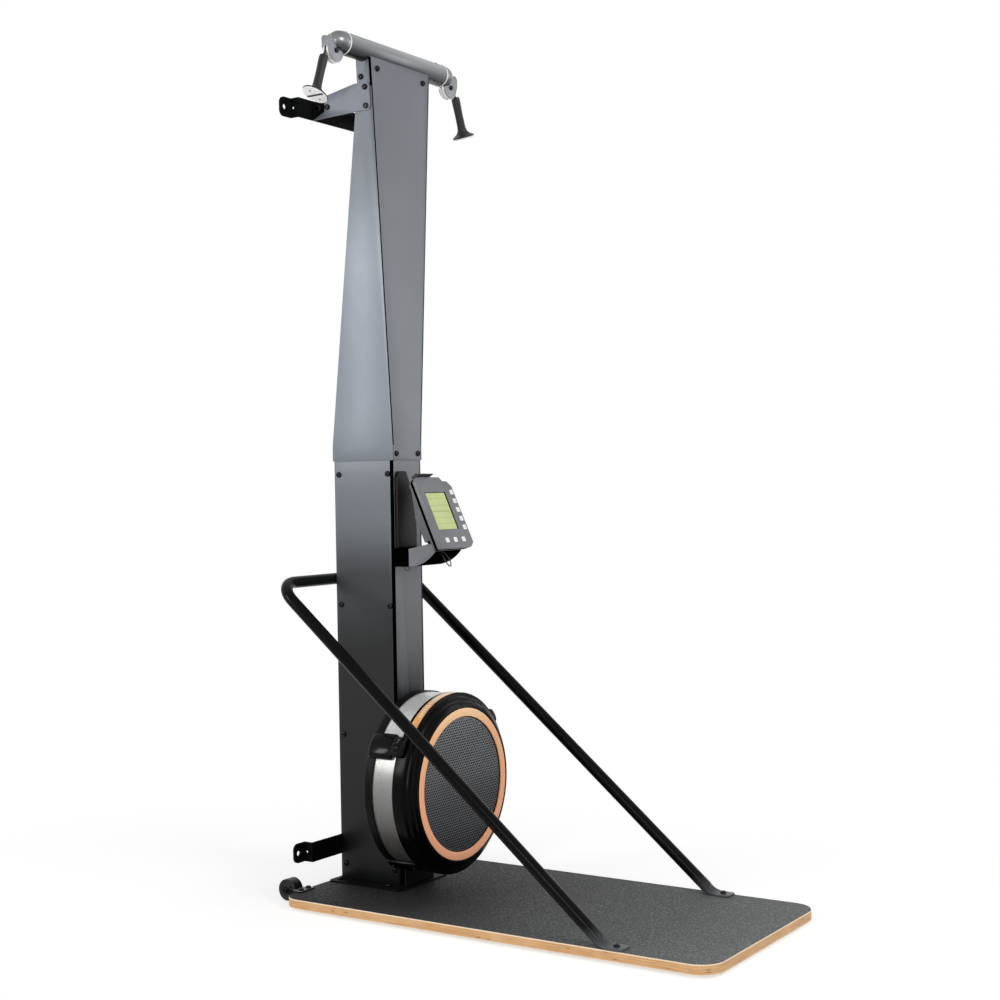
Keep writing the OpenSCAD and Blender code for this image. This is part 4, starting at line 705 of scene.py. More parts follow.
def makeRoundTree():
    # copies of one shape, turned in equal steps round the Z axis
    group, given, result = startTree("copiesRound", [("Count", "NodeSocketInt", 12)])
    line = addNode(group, "GeometryNodeMeshLine", {"Count": given["Count"], "Offset": (0, 0, 0)})
    number = addNode(group, "GeometryNodeInputIndex")
    angle = calc(group, "MULTIPLY", number.outputs[0], calc(group, "DIVIDE", 2 * math.pi, given["Count"]))
    turn = addNode(group, "ShaderNodeCombineXYZ", {2: angle})
    put = addNode(group, "GeometryNodeInstanceOnPoints", {"Points": line.outputs[0], "Instance": given["Geometry"],
                                                          "Rotation": turn.outputs[0]})
    return endTree(group, given, result, put.outputs[0])


def makeSheetTree():
    # staggered rows of one shape inside a circle
    group, given, result = startTree("staggeredSheet", [("Pitch", "NodeSocketFloat", 0.006), ("Radius", "NodeSocketFloat", 0.16),
                                                        ("Rows", "NodeSocketInt", 61)])
    rowStep = calc(group, "MULTIPLY", given["Pitch"], math.sqrt(0.75))
    gaps = calc(group, "SUBTRACT", given["Rows"], 1.0)
    wide = calc(group, "MULTIPLY", gaps, given["Pitch"])
    high = calc(group, "MULTIPLY", gaps, rowStep)
    grid = addNode(group, "GeometryNodeMeshGrid", {"Size X": wide, "Size Y": high,
                                                   "Vertices X": given["Rows"], "Vertices Y": given["Rows"]})
    place = addNode(group, "GeometryNodeInputPosition")
    parts = axes(group, place.outputs[0])
    odd = calc(group, "PINGPONG", calc(group, "ROUND", calc(group, "DIVIDE", parts[1], rowStep)), 1.0)
    shift = calc(group, "MULTIPLY", odd, calc(group, "MULTIPLY", given["Pitch"], 0.5))
    offset = addNode(group, "ShaderNodeCombineXYZ", {0: shift})
    moved = addNode(group, "GeometryNodeSetPosition", {"Geometry": grid.outputs[0], "Offset": offset.outputs[0]})
    again = addNode(group, "GeometryNodeInputPosition")
    far = addNode(group, "ShaderNodeVectorMath", {0: again.outputs[0]}, operation="LENGTH")
    outside = calc(group, "GREATER_THAN", far.outputs["Value"], given["Radius"])
    kept = addNode(group, "GeometryNodeDeleteGeometry", {"Geometry": moved.outputs[0], "Selection": outside}, domain="POINT")
    put = addNode(group, "GeometryNodeInstanceOnPoints", {"Points": kept.outputs[0], "Instance": given["Geometry"]})
    return endTree(group, given, result, put.outputs[0])


def makeScatterTree():
    # one shape on each point, its Z axis along the point's own direction
    group, given, result = startTree("shapeOnPoints", [("Shape", "NodeSocketObject", None), ("Scale", "NodeSocketFloat", 1.0)])
    shape = addNode(group, "GeometryNodeObjectInfo", {"Object": given["Shape"]}, transform_space="ORIGINAL")
    facing = addNode(group, "GeometryNodeInputNamedAttribute", {"Name": "facing"}, data_type="FLOAT_VECTOR")
    turn = addNode(group, "FunctionNodeAlignRotationToVector", {"Vector": facing.outputs[0]}, axis="Z")
    put = addNode(group, "GeometryNodeInstanceOnPoints", {"Points": given["Geometry"], "Instance": shape.outputs["Geometry"],
                                                          "Rotation": turn.outputs[0], "Scale": given["Scale"]})
    return endTree(group, given, result, put.outputs[0])


roundTree, sheetTree, scatterTree = makeRoundTree(), makeSheetTree(), makeScatterTree()


def scattered(name, shape, places, paint, scale=1.0, **more):
    # runs the scatter tree on a list of (point, direction)
    points = bpy.data.meshes.new(name + "Points")
    points.from_pydata([tuple(p) for p, _ in places], [], [])
    facing = points.attributes.new("facing", "FLOAT_VECTOR", "POINT")
    for i, (_, direction) in enumerate(places):
        facing.data[i].vector = direction
    template = linked(name + "Shape", shape)
    made = bakeTree(name, points, scatterTree, {"Shape": template, "Scale": scale, "Finish": paints[paint]})
    bpy.data.objects.remove(template)
    makePiece(name, bmeshOf(made), paint, body="frame", slot="fastener", recalc=False, **more)


# screws
screwFacts = {
    "head": 7.4, "height": 5.6, "dome": 2.8, "socket": 3.5, "socketDepth": 3.0,
    "sides": [(-60.5, y, z, (-1, 0, 0)) for y in (15, 175.5) for z in (74.6, 414.7, 754.8, 1094.9)],
    "fronts": [(-46.5, -2.8, 1147, (0, -1, 0)), (-98, -2.8, 2122, (0, -1, 0)), (-38.5, 194, 124, (0, 1, 0))],
    "floors": [(-270, -754.9, 38, (0, 0, 1)), (-194, 193.5, 36, (0, 0, 1)), (-222, 193.5, 36, (0, 0, 1)),
               (-81.5, 20, 37, (0, 0, 1)), (-81.5, 178, 37, (0, 0, 1))],
    "slopes": [(-122.9, 16, 2026.9), (-126.0, 16, 2073.9), (-124.8, 29, 2101.0), (-123.8, 140, 2039.9), (-123.8, 166, 2039.9)],
    "slopeFacing": (-0.9978, 0, -0.0655),
    "tab": (-34, -15.7, 99),
    "tube": (-191, 20, 2195.7),
}


def screwShape(f):
    # a button head with a rounded crown and a six-sided socket
    bm = bmesh.new()
    r, h, s = f["head"], f["height"], f["socket"]
    crown = [(r * 0.97, 0.02), (r, 0.4)]
    crown += [(r * part, h - f["dome"] * drop) for part, drop in ((1, 1), (0.93, 0.52), (0.78, 0.16), (0.6, 0))]
    rings = [[Vector((q * math.cos(a), q * math.sin(a), z)) * mm for a in turns(24)] for q, z in crown]

    def hexagon(size, z):
        ring = []
        for a in turns(24):
            off = (a + math.pi / 6) % (math.pi / 3) - math.pi / 6
            q = size * math.cos(math.pi / 6) / math.cos(off)
            ring.append(Vector((q * math.cos(a), q * math.sin(a), z)) * mm)
        return ring

    rings += [hexagon(s, h - 0.1), hexagon(s * 0.98, h - f["socketDepth"]), hexagon(s * 0.3, h - f["socketDepth"] - 0.5)]
    addLoft(bm, rings)
    return meshOf(bm, "screwShape")


def makeScrews(f):
    both = f["sides"] + f["fronts"] + f["floors"] + [(*p, f["slopeFacing"]) for p in f["slopes"]] + [(*f["tab"], (0, 1, 0))]
    places = []
    for x, y, z, facing in both:
        for sign in (1, -1):
            places.append((spot(x * sign, y, z), Vector((facing[0] * sign, facing[1], facing[2]))))
    scattered("buttonScrews", screwShape(f), places, "fastener", gone=("socket_screws",))
    top = [(spot(f["tube"][0] * sign, f["tube"][1], f["tube"][2]), Vector((0, 0, 1))) for sign in (1, -1)]
    scattered("tubeScrews", screwShape(f), top, "fastener", 0.55)


makeScrews(screwFacts)
print("screws made")

# the fan
fanPlace = standing(0, 303)
fanFacts = {
    "sides": 224,
    "rear": [(227.3, 46, 0), (230, 46, 0.9), (230, 20, 4), (57, 20, 6), (56.5, 0.4, 0.8), (26.8, 0.4, 0.4), (26.8, 23, 0.4),
             (227.3, 23, 3)],
    "front": [(227.3, 108, 0), (230, 108, 0.9), (230, 139.8, 1.4), (227.2, 141.4, 0.5), (221.4, 142.0, 0.4), (220.8, 144.6, 0.8),
              (218.4, 149.2, 3), (213.2, 153.0, 2.5), (209.4, 154.4, 0.4), (208.8, 156.0, 0.4), (206.2, 159.2, 2.5),
              (200.4, 162.6, 3), (195.6, 163.5, 1.2), (192.3, 163.5, 0.5), (192.3, 160.5, 0), (170.9, 160.5, 0),
              (170.9, 161.2, 0.3), (168.6, 161.2, 0.3), (168.6, 156.9, 0), (161, 156.9, 0.3), (161, 149.4, 0.6), (204, 149.4, 3),
              (216, 139, 3), (227.3, 136, 2)],
    "copper": [(171.2, 160.6, 0), (192.0, 160.6, 0), (192.0, 164, 0.8), (171.2, 164, 0.8)],
    "grille": {"pitch": 7.6, "hole": 3.05, "thick": 1.2, "front": 159.4, "radius": 167.4, "rim": (165.9, 168.4)},
    "screen": {"radius": 160.6, "height": 153.6},
    "mesh": {"radius": 226.4, "low": 42.0, "high": 112.0, "count": 330, "width": 1.5, "thick": 0.3},
    "scale": {"from": -46, "to": 3, "low": 117.0, "high": 138.8, "radii": (230.05, 230.2)},
}


def clockSpot(angle, radius, height):
    a = math.radians(angle)
    return fanPlace @ (Vector((radius * math.sin(a), radius * math.cos(a), height)) * mm)


def makeHousings(f):
    for name, line, paint, node in (("rearHousing", "rear", "rearBlack", "fan_rear_housing"),
                                    ("frontHousing", "front", "housingBlack", "fan_front_housing"),
                                    ("copperRing", "copper", "copper", "copper_ring")):
        turned(name, paint, filleted(f[line], 5, True), fanPlace, f["sides"], True, gone=(node,), crease=30)


def makeGrille(g):
    bm = bmesh.new()
    outer, inner, deep = [], [], []
    for k in range(12):
        a = math.radians(30 * k)
        reach = g["pitch"] / 2 if k % 2 == 0 else g["pitch"] / math.sqrt(3)
        for ring, r, z in ((outer, reach, 0), (inner, g["hole"], 0), (deep, g["hole"], -g["thick"])):
            ring.append(bm.verts.new(Vector((r * math.cos(a), r * math.sin(a), z)) * mm))
    for k in range(12):
        j = (k + 1) % 12
        bm.faces.new((outer[k], outer[j], inner[j], inner[k]))
        bm.faces.new((inner[k], inner[j], deep[j], deep[k]))
    sheet = bakeTree("grilleSheet", meshOf(bm, "grilleCell"), sheetTree,
                     {"Pitch": g["pitch"] * mm, "Radius": g["radius"] * mm, "Rows": 63, "Finish": paints["grilleBlack"]})
    sheet.transform(fanPlace @ Matrix.Translation((0, 0, g["front"] * mm)))
    bm = bmeshOf(sheet)
    top = g["front"] - 0.15
    low = top - g["thick"]
    addLathe(bm, [(g["rim"][0], top), (g["rim"][1], top), (g["rim"][1], low), (g["rim"][0], low)], fanPlace, 192, True)
    piece = makePiece("frontGrille", bm, "grilleBlack", gone=("fan_grille",), crease=30, recalc=False)
    print("grille faces:", len(piece.data.polygons))


def makeShadeScreen(s):
    # painted shade: a fine near-black cloth on a thin hoop behind the grille, darkening what shows through its holes
    r, h = s["radius"], s["height"]
    hoop = filleted([(r - 2.5, h + 1.2, 0), (r, h + 1.2, 0.5), (r, h - 1.2, 0)], 3)
    turned("dustScreen", "screenCloth", [(0, h), (r - 2.5, h)] + hoop + [(0, h - 1.2)], fanPlace, 120, near="fan_grille", crease=30)


def shadeClothMaterial():
    # plain woven cloth, almost black, used as painted shade behind the grille
    paint, tree, where = newMaterial("paintedShadeCloth")
    parts = axes(tree, where)
    weave = calc(tree, "MULTIPLY", *(calc(tree, "PINGPONG", calc(tree, "MULTIPLY", parts[k], 900.0), 0.5) for k in (0, 2)))
    share = remap(tree, weave, 0.0, 0.25, 0.0, 1.0)
    colour = mixColour(tree, share, "#060606", "#161617")
    rough = remap(tree, weave, 0.0, 0.25, 0.9, 0.75)
    finishShader(tree, colour, rough, weave, 0.0001, setting(shine=0.1))
    return paint


paints["screenCloth"] = shadeClothMaterial()


def makeMeshBand(m):
    # fine diamond mesh: two families of slanting strands
    for name, lean, lift in (("meshStrandsA", 1, 0.0), ("meshStrandsB", -1, 0.32)):
        bm = bmesh.new()
        rings, steps = [], 9
        span = (m["high"] - m["low"]) / m["radius"]
        for i in range(steps + 1):
            t = i / steps
            a, h = lean * span * (t - 0.5), m["low"] + (m["high"] - m["low"]) * t
            wide = m["width"] / math.sqrt(2) / m["radius"]
            ring = []
            for side, drop in ((-1, 0), (1, 0), (1, 1), (-1, 1)):
                r = m["radius"] + lift - drop * m["thick"]
                b = a + side * wide
                ring.append(Vector((r * math.sin(b), r * math.cos(b), h)) * mm)
            rings.append(ring)
        addLoft(bm, rings)
        bmesh.ops.recalc_face_normals(bm, faces=bm.faces[:])
        made = bakeTree(name, meshOf(bm, name + "One"), roundTree, {"Count": m["count"], "Finish": paints["meshSteel"]})
        made.transform(fanPlace)
        makePiece(name, bmeshOf(made), "meshSteel", gone=("fan_mesh_band",) if lean > 0 else (), body="frame",
                  slot="mesh_steel", crease=30, recalc=False)


def saddleRing(width, thick, height, power, angle, base=230.4, count=37, groove=0.0, pitch=5.8):
    # one cross-section of a clip on the fan's rim: a crowned top and a bottom that follows the rim
    half, ring = width / 2, []
    for i in range(count):
        u = half * math.cos(math.pi * i / (count - 1))
        v = thick * max(1 - abs(u / half) ** power, 0) ** (1 / power)
        if groove and abs(u) < half * 0.86:
            v -= groove * abs(math.cos(math.pi * u / pitch)) ** 3
        ring.append((u, max(v, 0.0)))
    ring += [(half * math.cos(math.pi * i / 8), -0.05) for i in range(7, 0, -1)]
    return [clockSpot(angle + math.degrees(u / base), base + v, height) for u, v in ring]


lowerClip = [(24, 36, 4, 2.6, 0), (26, 39, 7, 3, 0), (30, 40, 7.9, 3.4, 0), (107, 40, 7.9, 3.4, 0), (111, 39, 7, 3, 0),
             (113, 36, 4, 2.6, 0)]
clipFacts = {  # each section: height in front of the tower, width, thickness, squareness, groove
    "damperSaddle": {"angle": -59.5, "node": "damper_lever", "parts": [
        [(24, 58, 6, 2.4, 0), (25.5, 62, 9, 2.6, 0), (28, 65, 11.6, 2.8, 0), (33, 66, 12.6, 3, 0), (60, 66, 12.8, 3, 0),
         (88, 66, 12.8, 3, 0), (93, 65, 12.2, 2.8, 0), (96, 63, 10, 2.6, 0), (97.5, 60, 6, 2.4, 0)],
        [(95, 46, 10, 2.4, 0.6), (96.5, 50, 14.5, 2.5, 1.6), (99, 52, 16.6, 2.6, 2.2), (112, 52, 16.9, 2.6, 2.4),
         (124, 52, 16.6, 2.6, 2.2), (128, 50.5, 15, 2.5, 1.6), (130, 47, 11, 2.4, 0.6)]]},
    "knobClip": {"angle": 50, "node": "bridge_clips", "parts": [
        [(24, 36, 4, 2.6, 0), (26, 39, 7, 3, 0), (30, 40, 7.9, 3.4, 0), (110, 40, 7.9, 3.4, 0), (113, 38, 5, 3, 0)],
        [(104, 36, 9, 2.4, 0.5), (106, 40, 12.6, 2.5, 1.4), (110, 42, 13.9, 2.6, 2), (124, 42, 14, 2.6, 2.2),
         (136, 41, 13.4, 2.6, 2), (139, 38, 9, 2.4, 0.6)]]},
    "lowerClipA": {"angle": 146, "parts": [lowerClip]},
    "lowerClipB": {"angle": -146, "parts": [lowerClip]},
}
clipScrews = {"head": 4.2, "height": 2.2, "dome": 1.4, "socket": 2.0, "socketDepth": 1.4}


def makeClips(clips):
    for name, c in clips.items():
        bm = bmesh.new()
        for part in c["parts"]:
            addLoft(bm, [saddleRing(w, t, h, power, c["angle"], groove=g) for h, w, t, power, g in part])
        body = "damper" if c.get("node") == "damper_lever" else "frame"
        makePiece(name, bm, "clipBlack", gone=(c["node"],) if "node" in c else (), body=body, slot="clip_black", crease=50)
    # two screws on each lower clip and one on the knob's
    places = []
    for angle, heights in ((146, (36, 101)), (-146, (36, 101)), (50, (36,))):
        a = math.radians(angle)
        for h in heights:
            places.append((clockSpot(angle, 238.0, h), fanPlace.to_3x3() @ Vector((math.sin(a), math.cos(a), 0))))
    scattered("clipScrews", screwShape(clipScrews), places, "fastener")


def scaleMaterial():
    # a gold film with a soft sheen and a pale printed wedge along it
    paint, tree, where = newMaterial("goldScaleFilm")
    uv = addNode(tree, "ShaderNodeTexCoord").outputs["UV"]
    parts = axes(tree, uv)
    cloud = noise(tree, where, 55.0, 4.0, 0.6)
    colour = remap(tree, cloud[0], 0.35, 0.65, 0.0, 1.0)
    gold = mixColour(tree, colour, "#e0994f", "#f3b877")
    limit = calc(tree, "MULTIPLY_ADD", parts[0], 0.42, 0.1)
    inside = calc(tree, "LESS_THAN", calc(tree, "ABSOLUTE", calc(tree, "ADD", parts[1], -0.5)), limit)
    tooth = calc(tree, "PINGPONG", calc(tree, "MULTIPLY", parts[0], 22.0), 0.5)
    mark = calc(tree, "MULTIPLY", inside, calc(tree, "GREATER_THAN", tooth, 0.2))
    shown = calc(tree, "MULTIPLY", mark, calc(tree, "GREATER_THAN", parts[0], 0.2))
    mixed = mixColour(tree, shown, gold, "#fbf0df")
    rough = remap(tree, cloud[0], 0.3, 0.7, 0.3, 0.42)
    finishShader(tree, mixed, rough, cloud[0], 0.00004, setting(metal=0.25))
    return paint


paints["scaleFilm"] = scaleMaterial()


def makeScale(s):
    bm = bmesh.new()
    layer = bm.loops.layers.uv.verify()
    steps = 60
    low, high = s["radii"]
    section = ((low, s["low"]), (high, s["low"]), (high, s["high"]), (low, s["high"]))
    columns = []
    for i in range(steps + 1):
        a = s["from"] + (s["to"] - s["from"]) * i / steps
        columns.append([bm.verts.new(clockSpot(a, r, h)) for r, h in section])
    for i, (a, b) in enumerate(zip(columns, columns[1:])):
        for k, (v0, v1) in enumerate(((0, 0), (0, 1), (1, 1), (1, 0))):
            j = (k + 1) % 4
            face = bm.faces.new((a[k], a[j], b[j], b[k]))
            for loop, (u, v) in zip(face.loops, ((i, v0), (i, v1), (i + 1, v1), (i + 1, v0))):
                loop[layer].uv = (u / steps, v)
    bm.faces.new(columns[0][::-1])
    bm.faces.new(columns[-1])
    makePiece("damperScale", bm, "scaleFilm", body="frame", slot="copper")


makeHousings(fanFacts)
makeGrille(fanFacts["grille"])
makeShadeScreen(fanFacts["screen"])
makeMeshBand(fanFacts["mesh"])
makeClips(clipFacts)
makeScale(fanFacts["scale"])
print("fan made")

# tower, bars and base
sheetPieces = {  # name: node, paint, rounding in millimetres
    "lowerTower": ("lower_channel", "towerSide", 0.9),
    "lowerFrontPanel": ("lower_front_panel", "towerFront", 0.6),
    "upperTower": ("upper_channel", "towerSide", 0.9),
    "upperFrontPanel": ("upper_front_panel", "towerFront", 0.6),
    "gussetPlates": ("upper_gussets", "gussetCoat", 0.6),
    "wallBars": ("wall_bars", "baseBlack", 0.7),
    "basePlate": ("base_plate", "baseBlack", 0.7),
    "wheelForks": ("wheel_forks", "forkZinc", 0.6),
    "innerPulleyBox": ("inner_bracket", "innerSteel", 0.4),
    "bearingBlocks": ("bearing_blocks", "innerSteel", 0.8),
    "deckFeet": ("deck_feet", "footRubber", 1.0),
}

for name, (node, paint, width) in sheetPieces.items():
    made = softened(name, node, paint, width)
    if name == "wheelForks":
        # painted light and shade: only the upward faces keep the grey fork finish, the other faces are black
        made.data.materials.append(paints["baseBlack"])
        for face in made.data.polygons:
            face.material_index = 0 if face.normal.z > 0.7 else 1


# painted shade: black strips stand in for the shadow gaps between the tower's side and front panels
panelJoints = [  # half width and height at the low and the high end, the height where the strip stops, its front and back
    ((60.5, 113.5), (60.5, 1129.5), 1129.5, -0.2, 8.0),
    ((60.5, 1168.5), (128, 2149.5), 2146.5, -3.0, 1.4),
]
# painted shade: wide on the left, where the gap's shade shows, narrow on the right
shadowGapWidth = {-1: 4.4, 1: 0.8}  # on the front, by side


def makeShadowGapStrips(joints):
    # black strips of painted shade in the shadow gaps, wrapping the front corners, one on each side of a panel
    bm = bmesh.new()
    for low, high, stop, front, back in joints:
        for sign, wide in shadowGapWidth.items():
            rings = []
            for share in (0.0, (stop - low[1]) / (high[1] - low[1])):
                x = low[0] + (high[0] - low[0]) * share
                z = low[1] + (high[1] - low[1]) * share
                cut = [(x + 0.22, back), (x + 0.22, front), (x - wide, front), (x - wide, front + 0.6), (x - 0.6, front + 0.6),
                       (x - 0.6, back)]
                rings.append([spot(sign * p, y, z) for p, y in cut])
            addLoft(bm, rings)
    makePiece("panelJoints", bm, "jointBlack", near="lower_channel")


makeShadowGapStrips(panelJoints)
print("sheet metal made")

# cross tube, rings, hoods and pulleys
tubeFacts = {"radius": 28.5, "half": 205, "ring": 3, "y": 20, "z": 2167}


def makeTubeRings(f):
    bm = bmesh.new()
    r = f["radius"]
    for sign in (-1, 1):
        a, b = sorted((sign * f["half"], sign * (f["half"] + f["ring"])))
        line = [(r - 1.6, a + 0.05, 0), (r + 1, a + 0.05, 0.8), (r + 1, b - 0.05, 0.8), (r - 1.6, b - 0.05, 0)]
        addLathe(bm, filleted(line, 4, True), acrossAt(0, f["y"], f["z"]), 96, True)
    makePiece("tubeRings", bm, "ringWhite", gone=("tube_rings",))


hoodFacts = {
    "start": 208.05, "wall": 2.6, "slot": (210.5, 262), "slotHalf": 7.8, "slotTop": 2173.2,
    "line": [(28.5, 0), (28.45, 8), (27.6, 16), (25.6, 24), (22.2, 31.5), (17.4, 38), (11.6, 42.6), (5.6, 45.2), (0, 46)],
}


def makeHoods(h):
    # a round nose beyond each ring, open below for the pulley
    nose, slot = bmesh.new(), bmesh.new()
    inner = [Vector((max(r - h["wall"], 0), max(z - h["wall"], -0.4))) for r, z in h["line"]]
    outer = smoothPath([Vector(p) for p in h["line"]], 3)
    line = [(0, inner[-1].y)] + [tuple(p) for p in inner[-2::-1] + outer]
    for sign in (-1, 1):
        addLathe(nose, line, acrossAt(sign * h["start"], tubeFacts["y"], tubeFacts["z"], sign), 96)
        x0, x1 = sorted(sign * x for x in h["slot"])
        flat = Matrix.Translation((0, (towerY + tubeFacts["y"]) * mm, 0))
        addPrism(slot, rect(x0, -h["slotHalf"], x1, h["slotHalf"]), 2120, h["slotTop"], flat)
    blank, gap = linked("hoodBlank", meshOf(nose, "hoodBlank")), linked("hoodSlot", meshOf(slot, "hoodSlot"))
    cut = blank.modifiers.new("slot", "BOOLEAN")
    cut.operation, cut.solver, cut.object = "DIFFERENCE", "EXACT", gap
    made = evaluated(blank)
    bpy.data.objects.remove(gap)
    makePiece("endHoods", bmeshOf(made), "hoodCap", gone=("end_hoods",), crease=34, recalc=False)


cheekFacts = {
    "pin": (245, 2140), "radius": 28, "top": (265, 2164, 12), "outside": [(277, 2146), (277, 2162)],
    "inside": [(250, 2167.5), (240, 2162.5), (228, 2158)], "plates": [(9.7, 12.5), (27.5, 30.3)],
    "web": [(274.2, 2146), (277, 2146), (277, 2166.5), (275.8, 2171), (272.8, 2168.8), (274.2, 2165)], "webDepth": (27.6, 15.2),
}


def makeCheeks(c):
    # two plates round each pulley, joined by a web at their outer end
    def arc(x, z, r, angles):
        return [(x + r * math.cos(math.radians(a)), z + r * math.sin(math.radians(a))) for a in angles]

    bm = bmesh.new()
    outline = arc(*c["pin"], c["radius"], range(-172, 1, 8)) + c["outside"] + arc(*c["top"], range(0, 126, 9)) + c["inside"]
    for sign in (-1, 1):
        shape, web = ([(sign * x, z) for x, z in line][::sign] for line in (outline, c["web"]))
        for y0, y1 in c["plates"]:
            addPrism(bm, shape, 0, y1 - y0, standing(y1), 0.6, 3)
        addPrism(bm, web, 0, c["webDepth"][1], standing(c["webDepth"][0]), 0.2, 2)
    makePiece("pulleyCheeks", bm, "cheekPaint", gone=("pulley_cheeks",))


makeTubeRings(tubeFacts)
softened("crossTube", "cross_tube", "tubeCoat", 0.5)
makeHoods(hoodFacts)
makeCheeks(cheekFacts)
print("cross tube made")

# hand rail
railFacts = {
    "radius": 15, "halfWidth": 270, "backY": 212, "topZ": 821, "slope": 40, "bend": 65, "toeBend": 60, "toeStart": -707.4,
    "toe": [(15, 15, 2.0), (15.6, 13.4, 2.1), (17, 10.5, 2.4), (18.4, 8, 2.8), (19.5, 6, 3.4), (20.6, 4.5, 4.2), (21.5, 3.4, 5),
            (22, 2.5, 7)],
    "plate": [(-752, 22), (-764, 22), (-770, 21.6), (-775, 20), (-778, 17), (-779.4, 13)], "plateZ": 35.5, "plateHalf": 2.45,
    "pads": {"x": (28.6, 48.4), "z": (809.5, 832.5), "front": 190.2, "depth": 17},
}


def ovalRing(centre, side, up, a, b, power, count=32):
    ring = []
    for t in turns(count):
        c, s = math.cos(t), math.sin(t)
        x = a * math.copysign(abs(c) ** (2 / power), c)
        y = b * math.copysign(abs(s) ** (2 / power), s)
        ring.append(centre + (side * x + up * y) * mm)
    return ring


def makeRail(f):
    slope = math.radians(f["slope"])
    down = Vector((0, -math.cos(slope), -math.sin(slope)))
    normal = Vector((0, -math.sin(slope), math.cos(slope)))
    half, bend = f["halfWidth"], f["bend"]

    def tubeRing(centre, side):
        return ovalRing(centre, side, normal, f["radius"], f["radius"], 2)

    def leg(sign):
        # rings from the plate's end up the leg to the middle of the cross piece
        side = Vector((1, 0, 0))
        out = []
        for y, a in reversed(f["plate"]):
            out.append(ovalRing(spot(sign * half, y, f["plateZ"]), side, Vector((0, 0, 1)), a, f["plateHalf"], 7))
        corner = spot(sign * half, f["backY"], f["topZ"])
        run = (f["backY"] - f["toeStart"]) / math.cos(slope)
        toeTop = corner + down * run * mm
        count = len(f["toe"]) - 1
        for i, (a, b, power) in enumerate(reversed(f["toe"])):
            left = slope * i / count
            arc = Vector((0, -(math.sin(slope) - math.sin(left)), -(math.cos(left) - math.cos(slope))))
            centre = toeTop + arc * f["toeBend"] * mm
            out.append(ovalRing(centre, side, Vector((0, -math.sin(left), math.cos(left))), a, b, power))
        for i in range(1, 25):
            out.append(tubeRing(toeTop.lerp(corner + down * bend * mm, i / 24), side))
        centre = corner + down * bend * mm - Vector((sign * bend, 0, 0)) * mm
        for i in range(1, 17):
            t = math.pi / 2 * i / 16
            outward = Vector((sign * math.cos(t), 0, 0)) - down * math.sin(t)
            out.append(tubeRing(centre + outward * bend * mm, outward * sign))
        return out

    rings = leg(-1)
    for i in range(1, 8):
        x = -half + bend + (2 * half - 2 * bend) * i / 8
        rings.append(tubeRing(spot(x, f["backY"], f["topZ"]), down))
    # the right leg's rings run the other way round, so each is matched to the last by its nearest start
    for ring in reversed(leg(1)):
        last = rings[-1]
        best = min(((sum((last[k] - turned[k]).length for k in range(0, 32, 8)), turned) for turned in
                    ([ring[(s + d * k) % 32] for k in range(32)] for s in range(32) for d in (1, -1))), key=lambda pair: pair[0])
        rings.append(best[1])
    bm = bmesh.new()
    addLoft(bm, rings)
    # the pads that carry it on the tower's back
    pads = f["pads"]
    for sign in (-1, 1):
        x0, x1 = sorted(sign * x for x in pads["x"])
        addPrism(bm, rect(x0, pads["z"][0], x1, pads["z"][1]), -pads["depth"], 0, standing(pads["front"]), 1.5)
    makePiece("handRail", bm, "railBlack", gone=("hand_rail",), crease=42)


makeRail(railFacts)
print("hand rail made")

# handles
handleFacts = {
    "x": 270.37, "y": 20, "z": 2149.23, "tilt": 20, "lead": 28, "stopWidth": 76, "stopDepth": 52,
    "plateShare": 0.97, "plate": (-112.9, -109.05), "under": -113.0, "joint": 3.6, "plug": 2.9, "plugs": 0.54,
    "grip": [(6.4, -0.2), (8.6, -0.9), (10.2, -2.4), (11.1, -4.6), (11.5, -8), (11.45, -20), (11.1, -34), (10.8, -50), (10.9, -66),
             (11.2, -80)],
    "flare": [(11.6, -86), (12.6, -90.5), (14.6, -94.5), (17.6, -98), (21.8, -101), (27.4, -103.6), (33.4, -105.6), (37.2, -106.8),
              (38, -107.7), (37.6, -108.7)],
}


def ovalLine(a, b, count, x=0):
    return [(x + a * math.cos(t), b * math.sin(t)) for t in turns(count)]


def makeHandles(f):
    ratio = f["stopDepth"] / f["stopWidth"]
    for side, sign in (("left", -1), ("right", 1)):
        place = (Matrix.Translation(spot(sign * f["x"], f["y"], f["z"])) @ Matrix.Rotation(-sign * math.radians(f["tilt"]), 4, "Y")
                 @ Matrix.Translation((0, 0, -f["lead"] * mm)))
        rings = []
        for r, z in f["grip"] + f["flare"]:
            # round along the grip, then an oval that widens to the stop
            t = min(max((r - 11.5) / 26.5, 0), 1) if z < -84 else 0.0
            rings.append([place @ (Vector((x, y, z)) * mm) for x, y in ovalLine(r, r * (1 - t) + r * ratio * t, 64)])
        bm = bmesh.new()
        addLoft(bm, rings)
        makePiece(f"{side}Grip", bm, "gripRubber", gone=(f"{side}_grip",), crease=50)

        # stop plate: a silver oval with a dark joint across it and two small plugs
        a, b = (f[k] / 2 * f["plateShare"] for k in ("stopWidth", "stopDepth"))
        node = f"{side}_stop_plate"
        plate(f"{side}StopPlate", "stopSilver", ovalLine(a, b, 64), *f["plate"], place, 1.5, gone=(node,))
        bm = bmesh.new()
        addPrism(bm, rect(-f["joint"], -b * 0.985, f["joint"], b * 0.985), f["under"], f["under"] + 0.8, place, 0.3)
        for x in (-f["plugs"], f["plugs"]):
            addPrism(bm, ovalLine(f["plug"], f["plug"], 24, a * x), f["under"], f["under"] + 0.6, place, 0.3)
        makePiece(f"{side}StopInlay", bm, "gripRubber", body=f"{side}_handle", slot="grip_rubber")


makeHandles(handleFacts)
print("handles made")

